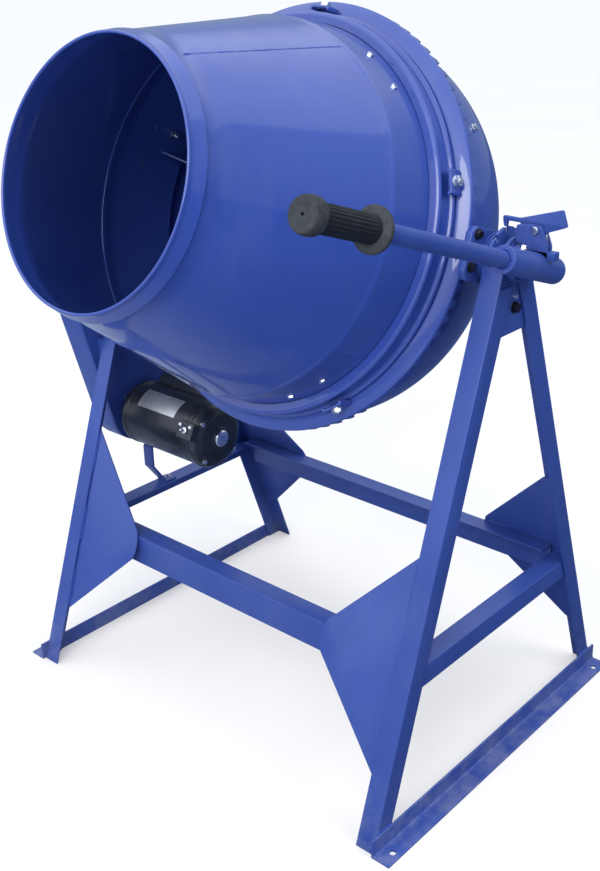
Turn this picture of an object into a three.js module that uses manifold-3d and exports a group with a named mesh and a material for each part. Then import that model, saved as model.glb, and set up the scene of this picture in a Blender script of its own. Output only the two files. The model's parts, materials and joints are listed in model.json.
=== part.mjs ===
// A tilting-drum concrete mixer on a welded angle-iron stand.
// Millimetres, +Z up. The drum's mouth faces -Y and the dump handle is on the +X side.
// Inside this file the floor point under the tilt axis is (0, 0, 0); the last lines move the
// whole mixer so that the centre of its bounding box's bottom face is the part's origin.

import * as THREE from "three";
import { mergeVertices } from "three/addons/utils/BufferGeometryUtils.js";
import Module from "manifold-3d";

const wasm = await Module();
wasm.setup();

// ---------------------------------------------------------------- driving dimensions

const GAP = 0.3; // air left between two pieces that touch
const RAD = Math.PI / 180;

// Stand
const HALF_WIDTH = 450; // centre plane to the outside of the legs
const PIVOT_HEIGHT = 949;
const FLANGE = 38; // angle iron, both flanges
const STEEL = 4; // angle iron thickness
const LEG_FOOT_Y = 367.5; // outer corner of a leg at the floor
const LEG_SPLAY = 0.346; // how far a leg leans in per unit of height
const LEG_TOP = 914; // the side flange stops here, under the trunnion bearing
const LEG_FRONT_TOP = 948; // the front flange runs on in front of the bearing
const RAIL_HALF_LENGTH = 373;
const BRACE_TOP = 300;
const CROSS_TOP = 316;
const CROSS_DEPTH = 61;
const GUSSET_THICK = 3;
const APEX_THICK = 6;

// Drum, measured along its own axis from the tilt axis, positive towards the mouth
const REST_TILT = 18.9 * RAD; // drum axis above horizontal at rest
const MOUTH_T = 511;
const MOUTH_R = 208.5;
const MOUTH_BAND = 29;
const SHOULDER_T = 184;
const SHOULDER_R = 323;
const JOINT_T = 24; // plane where the front shell meets the rear bowl
const JOINT_R = 338;
const BOWL_R = 360;
const BOWL_DEPTH = 247.5;
const BOWL_POWER = 2.4; // exponent of the bowl's superellipse
const SHEET = 3;

// Gears
const RING_TEETH = 84;
const PINION_TEETH = 8;
const RING_OUTER_R = 381.6;
const RING_FACE = 20; // radial length of a ring tooth
const PRESSURE_ANGLE = 20 * RAD;
const BACKLASH = 1.6;
const ADDENDUM = 5.8;
const DEDENDUM = 7.7;
const PITCH_R = RING_OUTER_R - RING_FACE / 2;
const CIRCULAR_PITCH = (2 * Math.PI * PITCH_R) / RING_TEETH;
const PINION_PITCH_R = (PITCH_R * PINION_TEETH) / RING_TEETH;
const PINION_INNER_X = 364;
const PINION_WIDTH = 22;

// Yoke and trunnions
const YOKE_INNER_X = 391;
const YOKE_THICK = 12;
const YOKE_WIDTH = 50;
const YOKE_DEPTH = 270;
const YOKE_ARM = 76; // how far each end runs past the tilt axis
const YOKE_END_WIDTH = 88; // over the flattened ends
const TRUNNION_R = 24;
const TRUNNION_FLANGE_R = 40;
const PINION_SHAFT_R = 12.5;
const SPINDLE_R = 17.5;

// Handle
const HANDLE_X = 490;
const SOCKET_R = 22;
const HANDLE_R = 14;
const GRIP_START = 436;
const GRIP_END = 584;

// Drive
const MOTOR_Y = -45;
const MOTOR_Z = 472;
const MOTOR_R = 68;
const MOTOR_LEFT = -463;
const MOTOR_RIGHT = -210;
const BELL_LENGTH = 32;
const MOTOR_SHAFT_R = 8;
const PULLEY_X = -500; // mid-plane of the belt
const PULLEY_WIDTH = 24;
const LARGE_PULLEY_R = 190;
const SMALL_PULLEY_R = 37;
const BELT_THICK = 9;
const BELT_WIDTH = 12.5;
const GUARD_BACK_X = -466;
const GUARD_DEPTH = 70;
const GUARD_TOP_R = 236;
const GUARD_FOOT_R = 70;
const GUARD_SHEET = 2.5;

// Latch, seen with the drum at rest
const LATCH_R = 56; // outer radius of the notched quadrant
const LATCH_PIN_X = 484;
const LATCH_PIN_Z = PIVOT_HEIGHT + 60;
const LATCH_THICK = 6;
const LATCH_HOLE_R = 4.3;
const NOTCH_ANGLES = [-50, -25, 0, 35, 70]; // tilt positions in degrees, mouth down positive

// ---------------------------------------------------------------- materials

function paint(color, roughness, metalness) {
  return new THREE.MeshStandardMaterial({ color, roughness, metalness });
}

const BLUE = paint(0x2b46a8, 0.35, 0.1);
const BLACK_PAINT = paint(0x15171a, 0.4, 0.1);
const RUBBER = paint(0x1c1d1c, 0.85, 0);
const ZINC = paint(0xc2c6cc, 0.35, 0.9);
const CAST = paint(0x3a3d42, 0.6, 0.6);
const BRONZE = paint(0xa97b3c, 0.4, 0.9);

// ---------------------------------------------------------------- solid helpers

const mixer = new THREE.Group();
const stand = new THREE.Group();
const tiltGroup = new THREE.Group(); // local +Z is the drum's axis, towards the mouth
tiltGroup.position.z = PIVOT_HEIGHT;
tiltGroup.rotation.x = Math.PI / 2 - REST_TILT;
mixer.add(stand, tiltGroup);

function toSolid(geometry) {
  const loose = geometry.index ? geometry.toNonIndexed() : geometry;
  const bare = new THREE.BufferGeometry();
  bare.setAttribute("position", loose.getAttribute("position"));
  const merged = mergeVertices(bare, 1e-3);
  const mesh = new wasm.Mesh({
    numProp: 3,
    vertProperties: merged.attributes.position.array,
    triVerts: new Uint32Array(merged.index.array),
  });
  return new wasm.Manifold(mesh);
}

function toGeometry(solid) {
  const mesh = solid.getMesh();
  const geometry = new THREE.BufferGeometry();
  geometry.setAttribute("position", new THREE.BufferAttribute(mesh.vertProperties, 3));
  geometry.setIndex(new THREE.BufferAttribute(mesh.triVerts, 1));
  const flat = geometry.toNonIndexed();
  flat.computeVertexNormals();
  return flat;
}

function union(...solids) {
  return wasm.Manifold.union(solids);
}

function addPart(name, solid, material, parent = stand) {
  const mesh = new THREE.Mesh(toGeometry(solid), material);
  mesh.name = name;
  parent.add(mesh);
}

function box(x0, x1, y0, y1, z0, z1) {
  const geometry = new THREE.BoxGeometry(x1 - x0, y1 - y0, z1 - z0);
  return toSolid(geometry.translate((x0 + x1) / 2, (y0 + y1) / 2, (z0 + z1) / 2));
}

function shapeOf(points, holes = []) {
  const shape = new THREE.Shape(points.map(([a, b]) => new THREE.Vector2(a, b)));
  for (const [a, b, radius] of holes) {
    const hole = new THREE.Path();
    hole.absarc(a, b, radius, 0, 2 * Math.PI, true);
    shape.holes.push(hole);
  }
  return shape;
}

function extrude(shape, depth, curveSegments = 16) {
  return new THREE.ExtrudeGeometry(shape, { depth, bevelEnabled: false, curveSegments });
}

// A plate whose outline is drawn in (y, z), filling x0 to x1.
function plateYZ(shape, x0, x1) {
  const geometry = extrude(shape, x1 - x0);
  geometry.rotateY(Math.PI / 2).rotateX(Math.PI / 2).translate(x0, 0, 0);
  return toSolid(geometry);
}

// A plate whose outline is drawn in (x, z), filling y0 to y1.
function plateXZ(shape, y0, y1) {
  const geometry = extrude(shape, y1 - y0);
  geometry.rotateX(Math.PI / 2).translate(0, y1, 0);
  return toSolid(geometry);
}

// A body of revolution about +Z from a closed outline of [radius, height] points.
function revolve(points, segments = 24) {
  const outline = points.map(([r, h]) => new THREE.Vector2(r, h));
  const onAxis = points[0][0] === 0 && points[points.length - 1][0] === 0;
  if (!onAxis) outline.push(outline[0].clone());
  const solid = toSolid(new THREE.LatheGeometry(outline, segments).rotateX(Math.PI / 2));
  if (solid.volume() > 0) return solid;
  return toSolid(new THREE.LatheGeometry(outline.reverse(), segments).rotateX(Math.PI / 2));
}

// The same about the line through (x, y, z) that runs along +X.
function revolveX(points, y, z, segments = 24) {
  return revolve(points, segments).rotate([0, 90, 0]).translate([0, y, z]);
}

function ring(outerR, innerR, h0, h1) {
  return [[innerR, h0], [outerR, h0], [outerR, h1], [innerR, h1]];
}

function disc(radius, h0, h1) {
  return [[0, h0], [radius, h0], [radius, h1], [0, h1]];
}

function mirrorX(solid) {
  return solid.mirror([1, 0, 0]);
}

function mirrorY(solid) {
  return solid.mirror([0, 1, 0]);
}

// ---------------------------------------------------------------- stand

function legY(z) {
  return -LEG_FOOT_Y + LEG_SPLAY * z;
}

// A strip that leans with the front legs: it starts `offset` behind the leg's outer face.
function leaningStrip(offset, width, z0, z1) {
  const y = (z) => legY(z) + offset;
  return shapeOf([[y(z0), z0], [y(z0) + width, z0], [y(z1) + width, z1], [y(z1), z1]]);
}

const LEAN = Math.sqrt(1 + LEG_SPLAY ** 2); // horizontal stretch of a leaning thickness

function frontRightLeg() {
  const front = leaningStrip(0, STEEL * LEAN, 1, LEG_FRONT_TOP);
  const side = leaningStrip(0, FLANGE * LEAN, 1, LEG_TOP);
  const innerX = HALF_WIDTH - FLANGE;
  return union(
    plateYZ(front, innerX, HALF_WIDTH),
    plateYZ(side, HALF_WIDTH - STEEL, HALF_WIDTH),
  );
}

function rightFootRail() {
  const inner = HALF_WIDTH + GAP;
  const length = RAIL_HALF_LENGTH;
  const flangeHole = (sign) =>
    revolve(disc(6, -1, STEEL + 1), 20).translate([inner + FLANGE / 2 + 4, sign * (length - 30), 0]);
  return union(
    box(inner, inner + STEEL, -length, length, 0, FLANGE - 2),
    box(inner, inner + FLANGE, -length, length, 0, STEEL),
  ).subtract(union(flangeHole(1), flangeHole(-1)));
}

const BEHIND_GUSSET = (STEEL + GUSSET_THICK) * LEAN + 2 * GAP;

function rightSideBrace() {
  const outer = HALF_WIDTH - STEEL - GAP;
  const strip = (z0, z1) => {
    const y0 = legY(z0) + BEHIND_GUSSET;
    const y1 = legY(z1) + BEHIND_GUSSET;
    return shapeOf([[y0, z0], [-y0, z0], [-y1, z1], [y1, z1]]);
  };
  return union(
    plateYZ(strip(BRACE_TOP - FLANGE, BRACE_TOP), outer - STEEL, outer),
    plateYZ(strip(BRACE_TOP - STEEL, BRACE_TOP), outer - FLANGE, outer),
  );
}

function frontCrossRail() {
  const end = HALF_WIDTH - STEEL - FLANGE - 3 * GAP;
  const front = legY(CROSS_TOP) + BEHIND_GUSSET;
  return union(
    box(-end, end, front, front + STEEL, CROSS_TOP - CROSS_DEPTH, CROSS_TOP),
    box(-end, end, front, front + FLANGE, CROSS_TOP - STEEL, CROSS_TOP),
  );
}

// A leaning plate behind the leg's front flange, with its blunt tip over the cross rail.
function frontRightGusset() {
  const hidden = HALF_WIDTH - STEEL - GAP;
  const edge = HALF_WIDTH - FLANGE;
  const outline = shapeOf([
    [hidden, 118], [hidden, 486], [edge, 486], [264, 338],
    [252, 326], [246, 308], [246, 290], [251, 272], [edge, 118],
  ]);
  const front = legY(0) + STEEL * LEAN + GAP;
  const upright = plateXZ(outline, front, front + GUSSET_THICK * LEAN);
  return upright.transform([1, 0, 0, 0, 0, 1, 0, 0, 0, LEG_SPLAY, 1, 0, 0, 0, 0, 1]);
}

const BEARING_R = TRUNNION_R + 7;
const BEARING_OUT = 461;
const APEX_BOLT = [4, 874, 7]; // y, z and radius of the hole in each apex plate

// A plate between the two legs' front flanges, with an ear that rises round the bearing.
function rightApexPlate() {
  const bottom = 831;
  const notchTop = LEG_FRONT_TOP + 2 * GAP;
  const halfWidth = (z) => -legY(z) - STEEL * LEAN - 2 * GAP;
  const earR = BEARING_R + 11;
  const outline = new THREE.Shape();
  outline.moveTo(-halfWidth(bottom), bottom);
  outline.lineTo(halfWidth(bottom), bottom);
  outline.lineTo(halfWidth(notchTop), notchTop);
  outline.absarc(0, PIVOT_HEIGHT, earR, 1 * RAD, 179 * RAD, false);
  outline.lineTo(-halfWidth(notchTop), notchTop);
  for (const [y, z, radius] of [[0, PIVOT_HEIGHT, BEARING_R + GAP], APEX_BOLT]) {
    const hole = new THREE.Path();
    hole.absarc(y, z, radius, 0, 2 * Math.PI, true);
    outline.holes.push(hole);
  }
  const outer = HALF_WIDTH - STEEL - GAP;
  return plateYZ(outline, outer - APEX_THICK, outer);
}

// A sleeve through the apex plate, with a shallow collar against the plate's inner face.
function rightTrunnionBearing() {
  const inner = 420;
  const collar = HALF_WIDTH - STEEL - GAP - APEX_THICK - GAP;
  const collarR = BEARING_R + 3;
  const bore = TRUNNION_R + GAP;
  const outline = [
    [bore, inner], [BEARING_R, inner], [BEARING_R, collar - 6], [collarR, collar - 6],
    [collarR, collar], [BEARING_R, collar], [BEARING_R, BEARING_OUT], [bore, BEARING_OUT],
  ];
  return revolveX(outline, 0, PIVOT_HEIGHT);
}

function addStand() {
  const corners = [
    ["front_right", (solid) => solid],
    ["front_left", mirrorX],
    ["rear_right", mirrorY],
    ["rear_left", (solid) => mirrorX(mirrorY(solid))],
  ];
  for (const [corner, place] of corners) {
    addPart(`leg_${corner}`, place(frontRightLeg()), BLUE);
    addPart(`gusset_${corner}`, place(frontRightGusset()), BLUE);
  }
  const sides = [["right", (solid) => solid], ["left", mirrorX]];
  for (const [side, place] of sides) {
    addPart(`foot_rail_${side}`, place(rightFootRail()), BLUE);
    addPart(`side_brace_${side}`, place(rightSideBrace()), BLUE);
    addPart(`apex_plate_${side}`, place(rightApexPlate()), BLUE);
    addPart(`trunnion_bearing_${side}`, place(rightTrunnionBearing()), BLUE);
  }
  addPart("cross_rail_front", frontCrossRail(), BLUE);
  addPart("cross_rail_rear", mirrorY(frontCrossRail()), BLUE);
}

// ---------------------------------------------------------------- tilt lock

const QUADRANT_X = 426;
const QUADRANT_THICK = 6;
const NOTCH_DEPTH = 9;
const NOTCH_WIDTH = LATCH_THICK + 3;

// A sector over the top of the right bearing, with a notch for each tilt position.
function lockQuadrant() {
  const start = 5 * RAD;
  const end = 175 * RAD;
  const half = NOTCH_WIDTH / 2;
  const outline = new THREE.Shape();
  outline.absarc(0, 0, LATCH_R, start, end, false);
  outline.absarc(0, 0, BEARING_R + GAP, end, start, true);
  const plate = plateYZ(outline, QUADRANT_X - QUADRANT_THICK / 2, QUADRANT_X + QUADRANT_THICK / 2);
  const notch = box(400, HALF_WIDTH, -half, half, LATCH_R - NOTCH_DEPTH, LATCH_R + 5);
  const notches = NOTCH_ANGLES.map((degrees) => notch.rotate([degrees, 0, 0]));
  return plate.subtract(union(...notches)).translate([0, 0, PIVOT_HEIGHT]);
}

// A cranked flat bar on a pin. Its thin inner arm ends in a tooth over the quadrant, drawn lifted
// just clear of the notch, and its broad outer arm is the thumb tab.
function latchLever() {
  const toothTip = PIVOT_HEIGHT + LATCH_R + 1;
  const armTop = LATCH_PIN_Z + 14;
  const bar = shapeOf(
    [
      [423.5, toothTip], [428.5, toothTip], [429.5, armTop - 7], [452, armTop - 7],
      [470, LATCH_PIN_Z - 8], [488, LATCH_PIN_Z - 8], [536, LATCH_PIN_Z + 11],
      [527, LATCH_PIN_Z + 37], [452, armTop], [421, armTop], [421, armTop - 7],
    ],
    [[LATCH_PIN_X, LATCH_PIN_Z, LATCH_HOLE_R]],
  );
  return plateXZ(bar, -LATCH_THICK / 2, LATCH_THICK / 2);
}

const EAR_THICK = 4;
const SADDLE_TOP = 978;

// Two ears on a saddle that sits on the handle socket, reaching in over the bearing.
function latchBracket() {
  const inner = LATCH_THICK / 2 + GAP;
  const outer = inner + EAR_THICK;
  const low = 962;
  const overBearing = 986;
  const ear = shapeOf(
    [
      [472, low], [507, low], [507, overBearing], [495, LATCH_PIN_Z + 7], [474, LATCH_PIN_Z + 9],
      [449, LATCH_PIN_Z + 4], [449, overBearing], [462.5, overBearing], [462.5, SADDLE_TOP],
      [472, SADDLE_TOP],
    ],
    [[LATCH_PIN_X, LATCH_PIN_Z, LATCH_HOLE_R]],
  );
  const socket = revolve(disc(SOCKET_R + GAP, -200, 200), 40)
    .rotate([90 - REST_TILT / RAD, 0, 0])
    .translate([HANDLE_X, 0, PIVOT_HEIGHT]);
  const ears = union(plateXZ(ear, -outer, -inner), plateXZ(ear, inner, outer));
  return union(ears, box(472, 520, -outer, outer, low, SADDLE_TOP)).subtract(socket);
}

function latchPin() {
  const pin = union(revolve(disc(4, -13, 13), 20), revolve(disc(6.5, 7.6 + GAP, 12), 20));
  return pin.rotate([90, 0, 0]).translate([LATCH_PIN_X, 0, LATCH_PIN_Z]);
}

// A compression spring between the saddle and the lever's tail.
function latchSpring() {
  const coilR = 1.9;
  const wireR = 0.9;
  const turns = 7;
  const x = LATCH_PIN_X + 16;
  const bottom = SADDLE_TOP + wireR + GAP;
  const height = 24;
  class Coil extends THREE.Curve {
    getPoint(u, target = new THREE.Vector3()) {
      const angle = 2 * Math.PI * turns * u;
      return target.set(coilR * Math.cos(angle), coilR * Math.sin(angle), height * u);
    }
  }
  const wire = new THREE.Shape();
  wire.absarc(0, 0, wireR, 0, 2 * Math.PI, false);
  const geometry = new THREE.ExtrudeGeometry(wire, {
    steps: 70,
    curveSegments: 3,
    bevelEnabled: false,
    extrudePath: new Coil(),
  });
  return toSolid(geometry).translate([x, 0, bottom]);
}

function addTiltLock() {
  addPart("lock_quadrant", lockQuadrant(), BLUE);
  addPart("latch_lever", latchLever(), BLUE);
  addPart("latch_bracket", latchBracket(), BLUE);
  addPart("latch_pin", latchPin(), ZINC);
  addPart("latch_spring", latchSpring(), ZINC);
}

// ---------------------------------------------------------------- yoke and handle

// A point of the bowl-shaped superellipse, at angle 0 on the side and 90 degrees at the back.
function superPoint(sideR, depth, angle) {
  const power = 2 / BOWL_POWER;
  return [
    sideR * Math.sign(Math.cos(angle)) * Math.abs(Math.cos(angle)) ** power,
    -depth * Math.abs(Math.sin(angle)) ** power,
  ];
}

function superArc(sideR, depth, fromDeg, toDeg, steps) {
  const points = [];
  for (let i = 0; i <= steps; i++) {
    const angle = (fromDeg + ((toDeg - fromDeg) * i) / steps) * RAD;
    points.push(superPoint(sideR, depth, angle));
  }
  return points;
}

const BEARING_BOSS_R = 30;

// A flat bar bent round the back of the bowl, with a broad plate at each end for the trunnions
// and a round pad at the back for the spindle.
function yoke() {
  const arm = YOKE_ARM - 5;
  const outerX = YOKE_INNER_X + YOKE_THICK;
  const outer = superArc(outerX, YOKE_DEPTH + YOKE_THICK, 0, 180, 28);
  const inner = superArc(YOKE_INNER_X, YOKE_DEPTH, 180, 0, 28);
  const outline = shapeOf([
    [outerX, arm], ...outer, [-outerX, arm], [-YOKE_INNER_X, arm], ...inner, [YOKE_INNER_X, arm],
  ]);
  const shaftHole = revolve(disc(PINION_SHAFT_R + GAP, 0, 500), 24).rotate([0, -90, 0]);
  const spindleHole = revolve(disc(BEARING_BOSS_R + GAP, -400, -200), 32);
  const bar = plateXZ(outline, -YOKE_WIDTH / 2, YOKE_WIDTH / 2);
  const pad = revolve(disc(55, -YOKE_DEPTH - YOKE_THICK, -YOKE_DEPTH), 36);
  const w = YOKE_END_WIDTH / 2;
  const end = shapeOf([
    [-w, -32], [-w, YOKE_ARM - 12], [12 - w, YOKE_ARM], [w - 12, YOKE_ARM], [w, YOKE_ARM - 12],
    [w, -32], [YOKE_WIDTH / 2, -58], [-YOKE_WIDTH / 2, -58],
  ]);
  const rightEnd = plateYZ(end, YOKE_INNER_X, outerX);
  return union(bar, pad, rightEnd, mirrorX(rightEnd)).subtract(union(shaftHole, spindleHole));
}

// A flanged stub on the yoke's end. The right one is solid and ends at the handle socket; the left
// one is hollow for the pinion shaft.
function trunnion(innerR, end) {
  const start = YOKE_INNER_X + YOKE_THICK + GAP;
  const outline = [
    [innerR, start], [TRUNNION_FLANGE_R, start], [TRUNNION_FLANGE_R, start + 7],
    [TRUNNION_R, start + 7], [TRUNNION_R, end], [innerR, end],
  ];
  return revolveX(outline, 0, 0);
}

function spindleBearing() {
  const bore = SPINDLE_R + GAP;
  const yokeBack = -YOKE_DEPTH - YOKE_THICK - GAP;
  return revolve([
    [bore, yokeBack - 28], [BEARING_BOSS_R, yokeBack - 28], [BEARING_BOSS_R, yokeBack - 8],
    [46, yokeBack - 8], [46, yokeBack], [BEARING_BOSS_R, yokeBack],
    [BEARING_BOSS_R, -YOKE_DEPTH], [bore, -YOKE_DEPTH],
  ]);
}

function handleSocket() {
  const tube = revolve(
    [[0, -50], [SOCKET_R - 4, -50], [SOCKET_R, -46], [SOCKET_R, 114], [HANDLE_R + GAP, 114],
      [HANDLE_R + GAP, -42], [0, -42]],
    36,
  );
  return tube.translate([HANDLE_X, 0, 0]);
}

function handleBar() {
  return revolve(disc(HANDLE_R, -42 + GAP, GRIP_END - 14), 32).translate([HANDLE_X, 0, 0]);
}

function handleGrip() {
  const bore = HANDLE_R + GAP;
  const bodyR = 20;
  const ribs = 6;
  const ribStart = GRIP_START + 16;
  const ribPitch = (GRIP_END - 30 - ribStart) / ribs;
  const outline = [
    [bore, GRIP_START], [bodyR, GRIP_START], [bodyR + 6, GRIP_START + 2],
    [32.5, GRIP_START + 4], [32.5, GRIP_START + 9], [bodyR + 2, GRIP_START + 13],
  ];
  for (let i = 0; i < ribs; i++) {
    const start = ribStart + i * ribPitch;
    outline.push([bodyR - 1.5, start], [bodyR, start + ribPitch - 3]);
  }
  outline.push([25, GRIP_END - 22], [25.5, GRIP_END - 10], [22, GRIP_END - 2], [14, GRIP_END]);
  outline.push([2.5, GRIP_END], [2.5, GRIP_END - 14 + GAP], [bore, GRIP_END - 14 + GAP]);
  return revolve(outline).translate([HANDLE_X, 0, 0]);
}

function addYoke() {
  addPart("yoke", yoke(), BLUE, tiltGroup);
  const rightTrunnion = trunnion(0, HANDLE_X - SOCKET_R - GAP);
  const leftTrunnion = mirrorX(trunnion(TRUNNION_R - 7, BEARING_OUT + 1));
  addPart("trunnion_right", rightTrunnion, BLUE, tiltGroup);
  addPart("trunnion_left", leftTrunnion, BLUE, tiltGroup);
  addPart("spindle_bearing", spindleBearing(), BLUE, tiltGroup);
  addPart("handle_socket", handleSocket(), BLUE, tiltGroup);
  addPart("handle_bar", handleBar(), BLUE, tiltGroup);
  addPart("handle_grip", handleGrip(), RUBBER, tiltGroup);
}

// ---------------------------------------------------------------- drum

const DRUM_SEGMENTS = 60;
const PADDLE_ANGLES = [51.5, 166, 303.5];
const LUG_COUNT = 5;
const FIRST_LUG_ANGLE = 16.8;

// Rolled lip, mouth band, cone, short cylinder and an outward flange at the joint.
function frontShell() {
  const bandT = MOUTH_T - MOUTH_BAND;
  const slope = (SHOULDER_R - MOUTH_R) / (MOUTH_T - SHOULDER_T);
  const bandR = MOUTH_R + slope * MOUTH_BAND;
  const flangeT = JOINT_T + GAP;
  return revolve(
    [
      [JOINT_R + 19, flangeT], [JOINT_R + 19, flangeT + SHEET], [JOINT_R, flangeT + SHEET],
      [SHOULDER_R + 1.5, SHOULDER_T - 8], [SHOULDER_R - 1.5, SHOULDER_T + 8],
      [bandR, bandT], [bandR + 2, bandT + 1.5], [MOUTH_R + 3.5, MOUTH_T - 8],
      [MOUTH_R + 4.5, MOUTH_T - 4], [MOUTH_R + 2, MOUTH_T], [MOUTH_R - 1, MOUTH_T],
      [MOUTH_R - 3.5, MOUTH_T - 4], [MOUTH_R - 1, MOUTH_T - 9], [bandR - SHEET, bandT],
      [SHOULDER_R - SHEET - 0.5, SHOULDER_T], [JOINT_R - SHEET, flangeT],
    ],
    DRUM_SEGMENTS,
  );
}

// A deep dish with a turned-in rim that the front shell's flange rests on.
function rearBowl() {
  const outside = superArc(BOWL_R, BOWL_DEPTH, 90, 0, 7);
  const inside = superArc(BOWL_R - SHEET, BOWL_DEPTH - SHEET, 0, 90, 7);
  outside[0][0] = 0;
  inside[inside.length - 1][0] = 0;
  const rim = [
    [BOWL_R, JOINT_T], [JOINT_R - 1, JOINT_T], [JOINT_R - 1, JOINT_T - SHEET],
    [BOWL_R - SHEET, JOINT_T - SHEET],
  ];
  return revolve([...outside, ...rim, ...inside], DRUM_SEGMENTS);
}

const RING_ROOT_T = PINION_PITCH_R + DEDENDUM;
const RING_FRONT_T = RING_ROOT_T + 14;
const RING_BORE_R = JOINT_R + 1;

// A tooth or a tooth-space shape of the ring, flattened: half width at a distance along the axis.
function rackHalfWidth(t, extra) {
  const pitchHalf = CIRCULAR_PITCH / 4 - BACKLASH / 4 + extra;
  return pitchHalf + (t - PINION_PITCH_R) * Math.tan(PRESSURE_ANGLE);
}

function rackTooth(tipT, rootT, extra) {
  const tip = rackHalfWidth(tipT, extra);
  const root = rackHalfWidth(rootT, extra);
  return [[-tip, tipT], [tip, tipT], [root, rootT], [-root, rootT]];
}

// A crown gear: a flat ring whose teeth point back along the drum's axis.
function ringGear() {
  const body = revolve(
    [
      [RING_BORE_R, JOINT_T + GAP + SHEET + GAP], [RING_BORE_R + 8, JOINT_T + GAP + SHEET + GAP],
      [RING_BORE_R + 8, RING_ROOT_T], [RING_OUTER_R, RING_ROOT_T],
      [RING_OUTER_R, RING_ROOT_T + 7], [358, RING_FRONT_T], [RING_BORE_R, RING_FRONT_T],
    ],
    RING_TEETH,
  );
  const outline = shapeOf(rackTooth(PINION_PITCH_R - ADDENDUM, RING_ROOT_T + 2, 0));
  const tooth = plateYZ(outline, RING_OUTER_R - RING_FACE, RING_OUTER_R - 0.4);
  const teeth = [];
  for (let i = 0; i < RING_TEETH; i++) {
    teeth.push(tooth.rotate([0, 0, (360 * i) / RING_TEETH]));
  }
  return union(body, ...teeth);
}

// A rolled band with two raised beads and a flat valley, clamped in front of the ring gear.
function drumHoop() {
  const back = RING_FRONT_T + GAP;
  const front = 101;
  const bore = JOINT_R;
  return revolve(
    [
      [bore, back], [356, back], [358, back + 3], [356, back + 7], [347, back + 11],
      [347, front - 15], [352, front - 11], [353, front - 6], [350, front - 2], [343, front],
      [bore, front],
    ],
    DRUM_SEGMENTS,
  );
}

// A clamp block over the rear bead with a hex bolt standing on it.
function hoopLug() {
  const low = 358.5;
  const block = box(low, low + 8, -21, 21, RING_FRONT_T + GAP, RING_FRONT_T + 30);
  const washer = revolve(disc(11, low + 7.5, low + 9.5), 24);
  const head = revolve(disc(9.5, low + 9, low + 16), 6);
  const bolt = union(washer, head).rotate([0, 90, 0]).translate([0, 0, RING_FRONT_T + 14]);
  return union(block, bolt);
}

// A blade that stands in from the drum's wall, with a bent lip along its inner edge.
function paddle() {
  const wall = 7;
  const outline = shapeOf([
    [SHOULDER_R - wall, 108], [258, 74], [268, -96], [BOWL_R - 34, -104],
    [BOWL_R - wall - 5, -40], [BOWL_R - wall - 3, 0], [JOINT_R - wall - 3, 10],
    [JOINT_R - wall - 2, 30],
  ]);
  const lip = shapeOf([[258, 74], [268, -96], [262, -97], [252, 73]]);
  return union(plateXZ(outline, -2, 2), plateXZ(lip, -2, 26));
}

function drumSpindle() {
  const hub = -BOWL_DEPTH - GAP;
  const end = -YOKE_DEPTH - YOKE_THICK - GAP - 28;
  return revolve([
    [0, hub], [62, hub], [62, hub - 8], [27, hub - 10], [27, hub - 20], [SPINDLE_R, hub - 20],
    [SPINDLE_R, end - 1], [12, end - 1], [12, end - 20], [0, end - 20],
  ]);
}

function spindleNut() {
  const end = -YOKE_DEPTH - YOKE_THICK - GAP - 29 - GAP;
  const hex = revolve(disc(20, end - 16, end), 6);
  return hex.subtract(revolve(disc(12 + GAP, end - 20, end + 5), 24));
}

function addDrum() {
  addPart("drum_front_shell", frontShell(), BLUE, tiltGroup);
  addPart("drum_rear_bowl", rearBowl(), BLUE, tiltGroup);
  addPart("ring_gear", ringGear(), BLUE, tiltGroup);
  addPart("drum_hoop", drumHoop(), BLUE, tiltGroup);
  for (let i = 0; i < LUG_COUNT; i++) {
    const angle = FIRST_LUG_ANGLE + (360 * i) / LUG_COUNT;
    addPart(`hoop_lug_${i + 1}`, hoopLug().rotate([0, 0, angle]), BLUE, tiltGroup);
  }
  PADDLE_ANGLES.forEach((angle, i) => {
    addPart(`paddle_${i + 1}`, paddle().rotate([0, 0, angle]), BLUE, tiltGroup);
  });
  addPart("drum_spindle", drumSpindle(), CAST, tiltGroup);
  addPart("spindle_nut", spindleNut(), ZINC, tiltGroup);
}

// ---------------------------------------------------------------- pinion shaft

// Each tooth space is the ring's own tooth shape, rolled past a round blank in small steps.
function pinionTeeth() {
  const clearance = 1.2;
  const reach = 48; // degrees the pinion turns while one rack tooth passes it
  const step = 6;
  const tipT = PINION_PITCH_R - ADDENDUM - clearance;
  const rackShape = shapeOf(rackTooth(tipT, PINION_PITCH_R + 12, BACKLASH / 2));
  const rack = toSolid(extrude(rackShape, PINION_WIDTH + 2)).translate([0, 0, -1]);
  const cuts = [];
  for (let space = 0; space < PINION_TEETH; space++) {
    for (let roll = -reach; roll <= reach; roll += step) {
      const rolled = rack.translate([PINION_PITCH_R * roll * RAD, 0, 0]);
      cuts.push(rolled.rotate([0, 0, roll + (360 * space) / PINION_TEETH]));
    }
  }
  return revolve(disc(PINION_PITCH_R + ADDENDUM, 0, PINION_WIDTH), 64).subtract(union(...cuts));
}

// Cut about +Z, then turned so that its axis is +X and a tooth space faces the ring at rest.
function pinion() {
  const hub = revolve(disc(21, 0, PINION_WIDTH + 2), 24);
  const bore = revolve(disc(PINION_SHAFT_R + GAP, -5, PINION_WIDTH + 5), 24);
  return union(pinionTeeth(), hub)
    .subtract(bore)
    .rotate([0, 0, 90])
    .rotate([0, -90, 0])
    .translate([-PINION_INNER_X, 0, 0]);
}

function pinionShaft() {
  const left = -PULLEY_X + PULLEY_WIDTH / 2 + 12;
  return mirrorX(revolveX(disc(PINION_SHAFT_R, PINION_INNER_X, left), 0, 0, 24));
}

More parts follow.
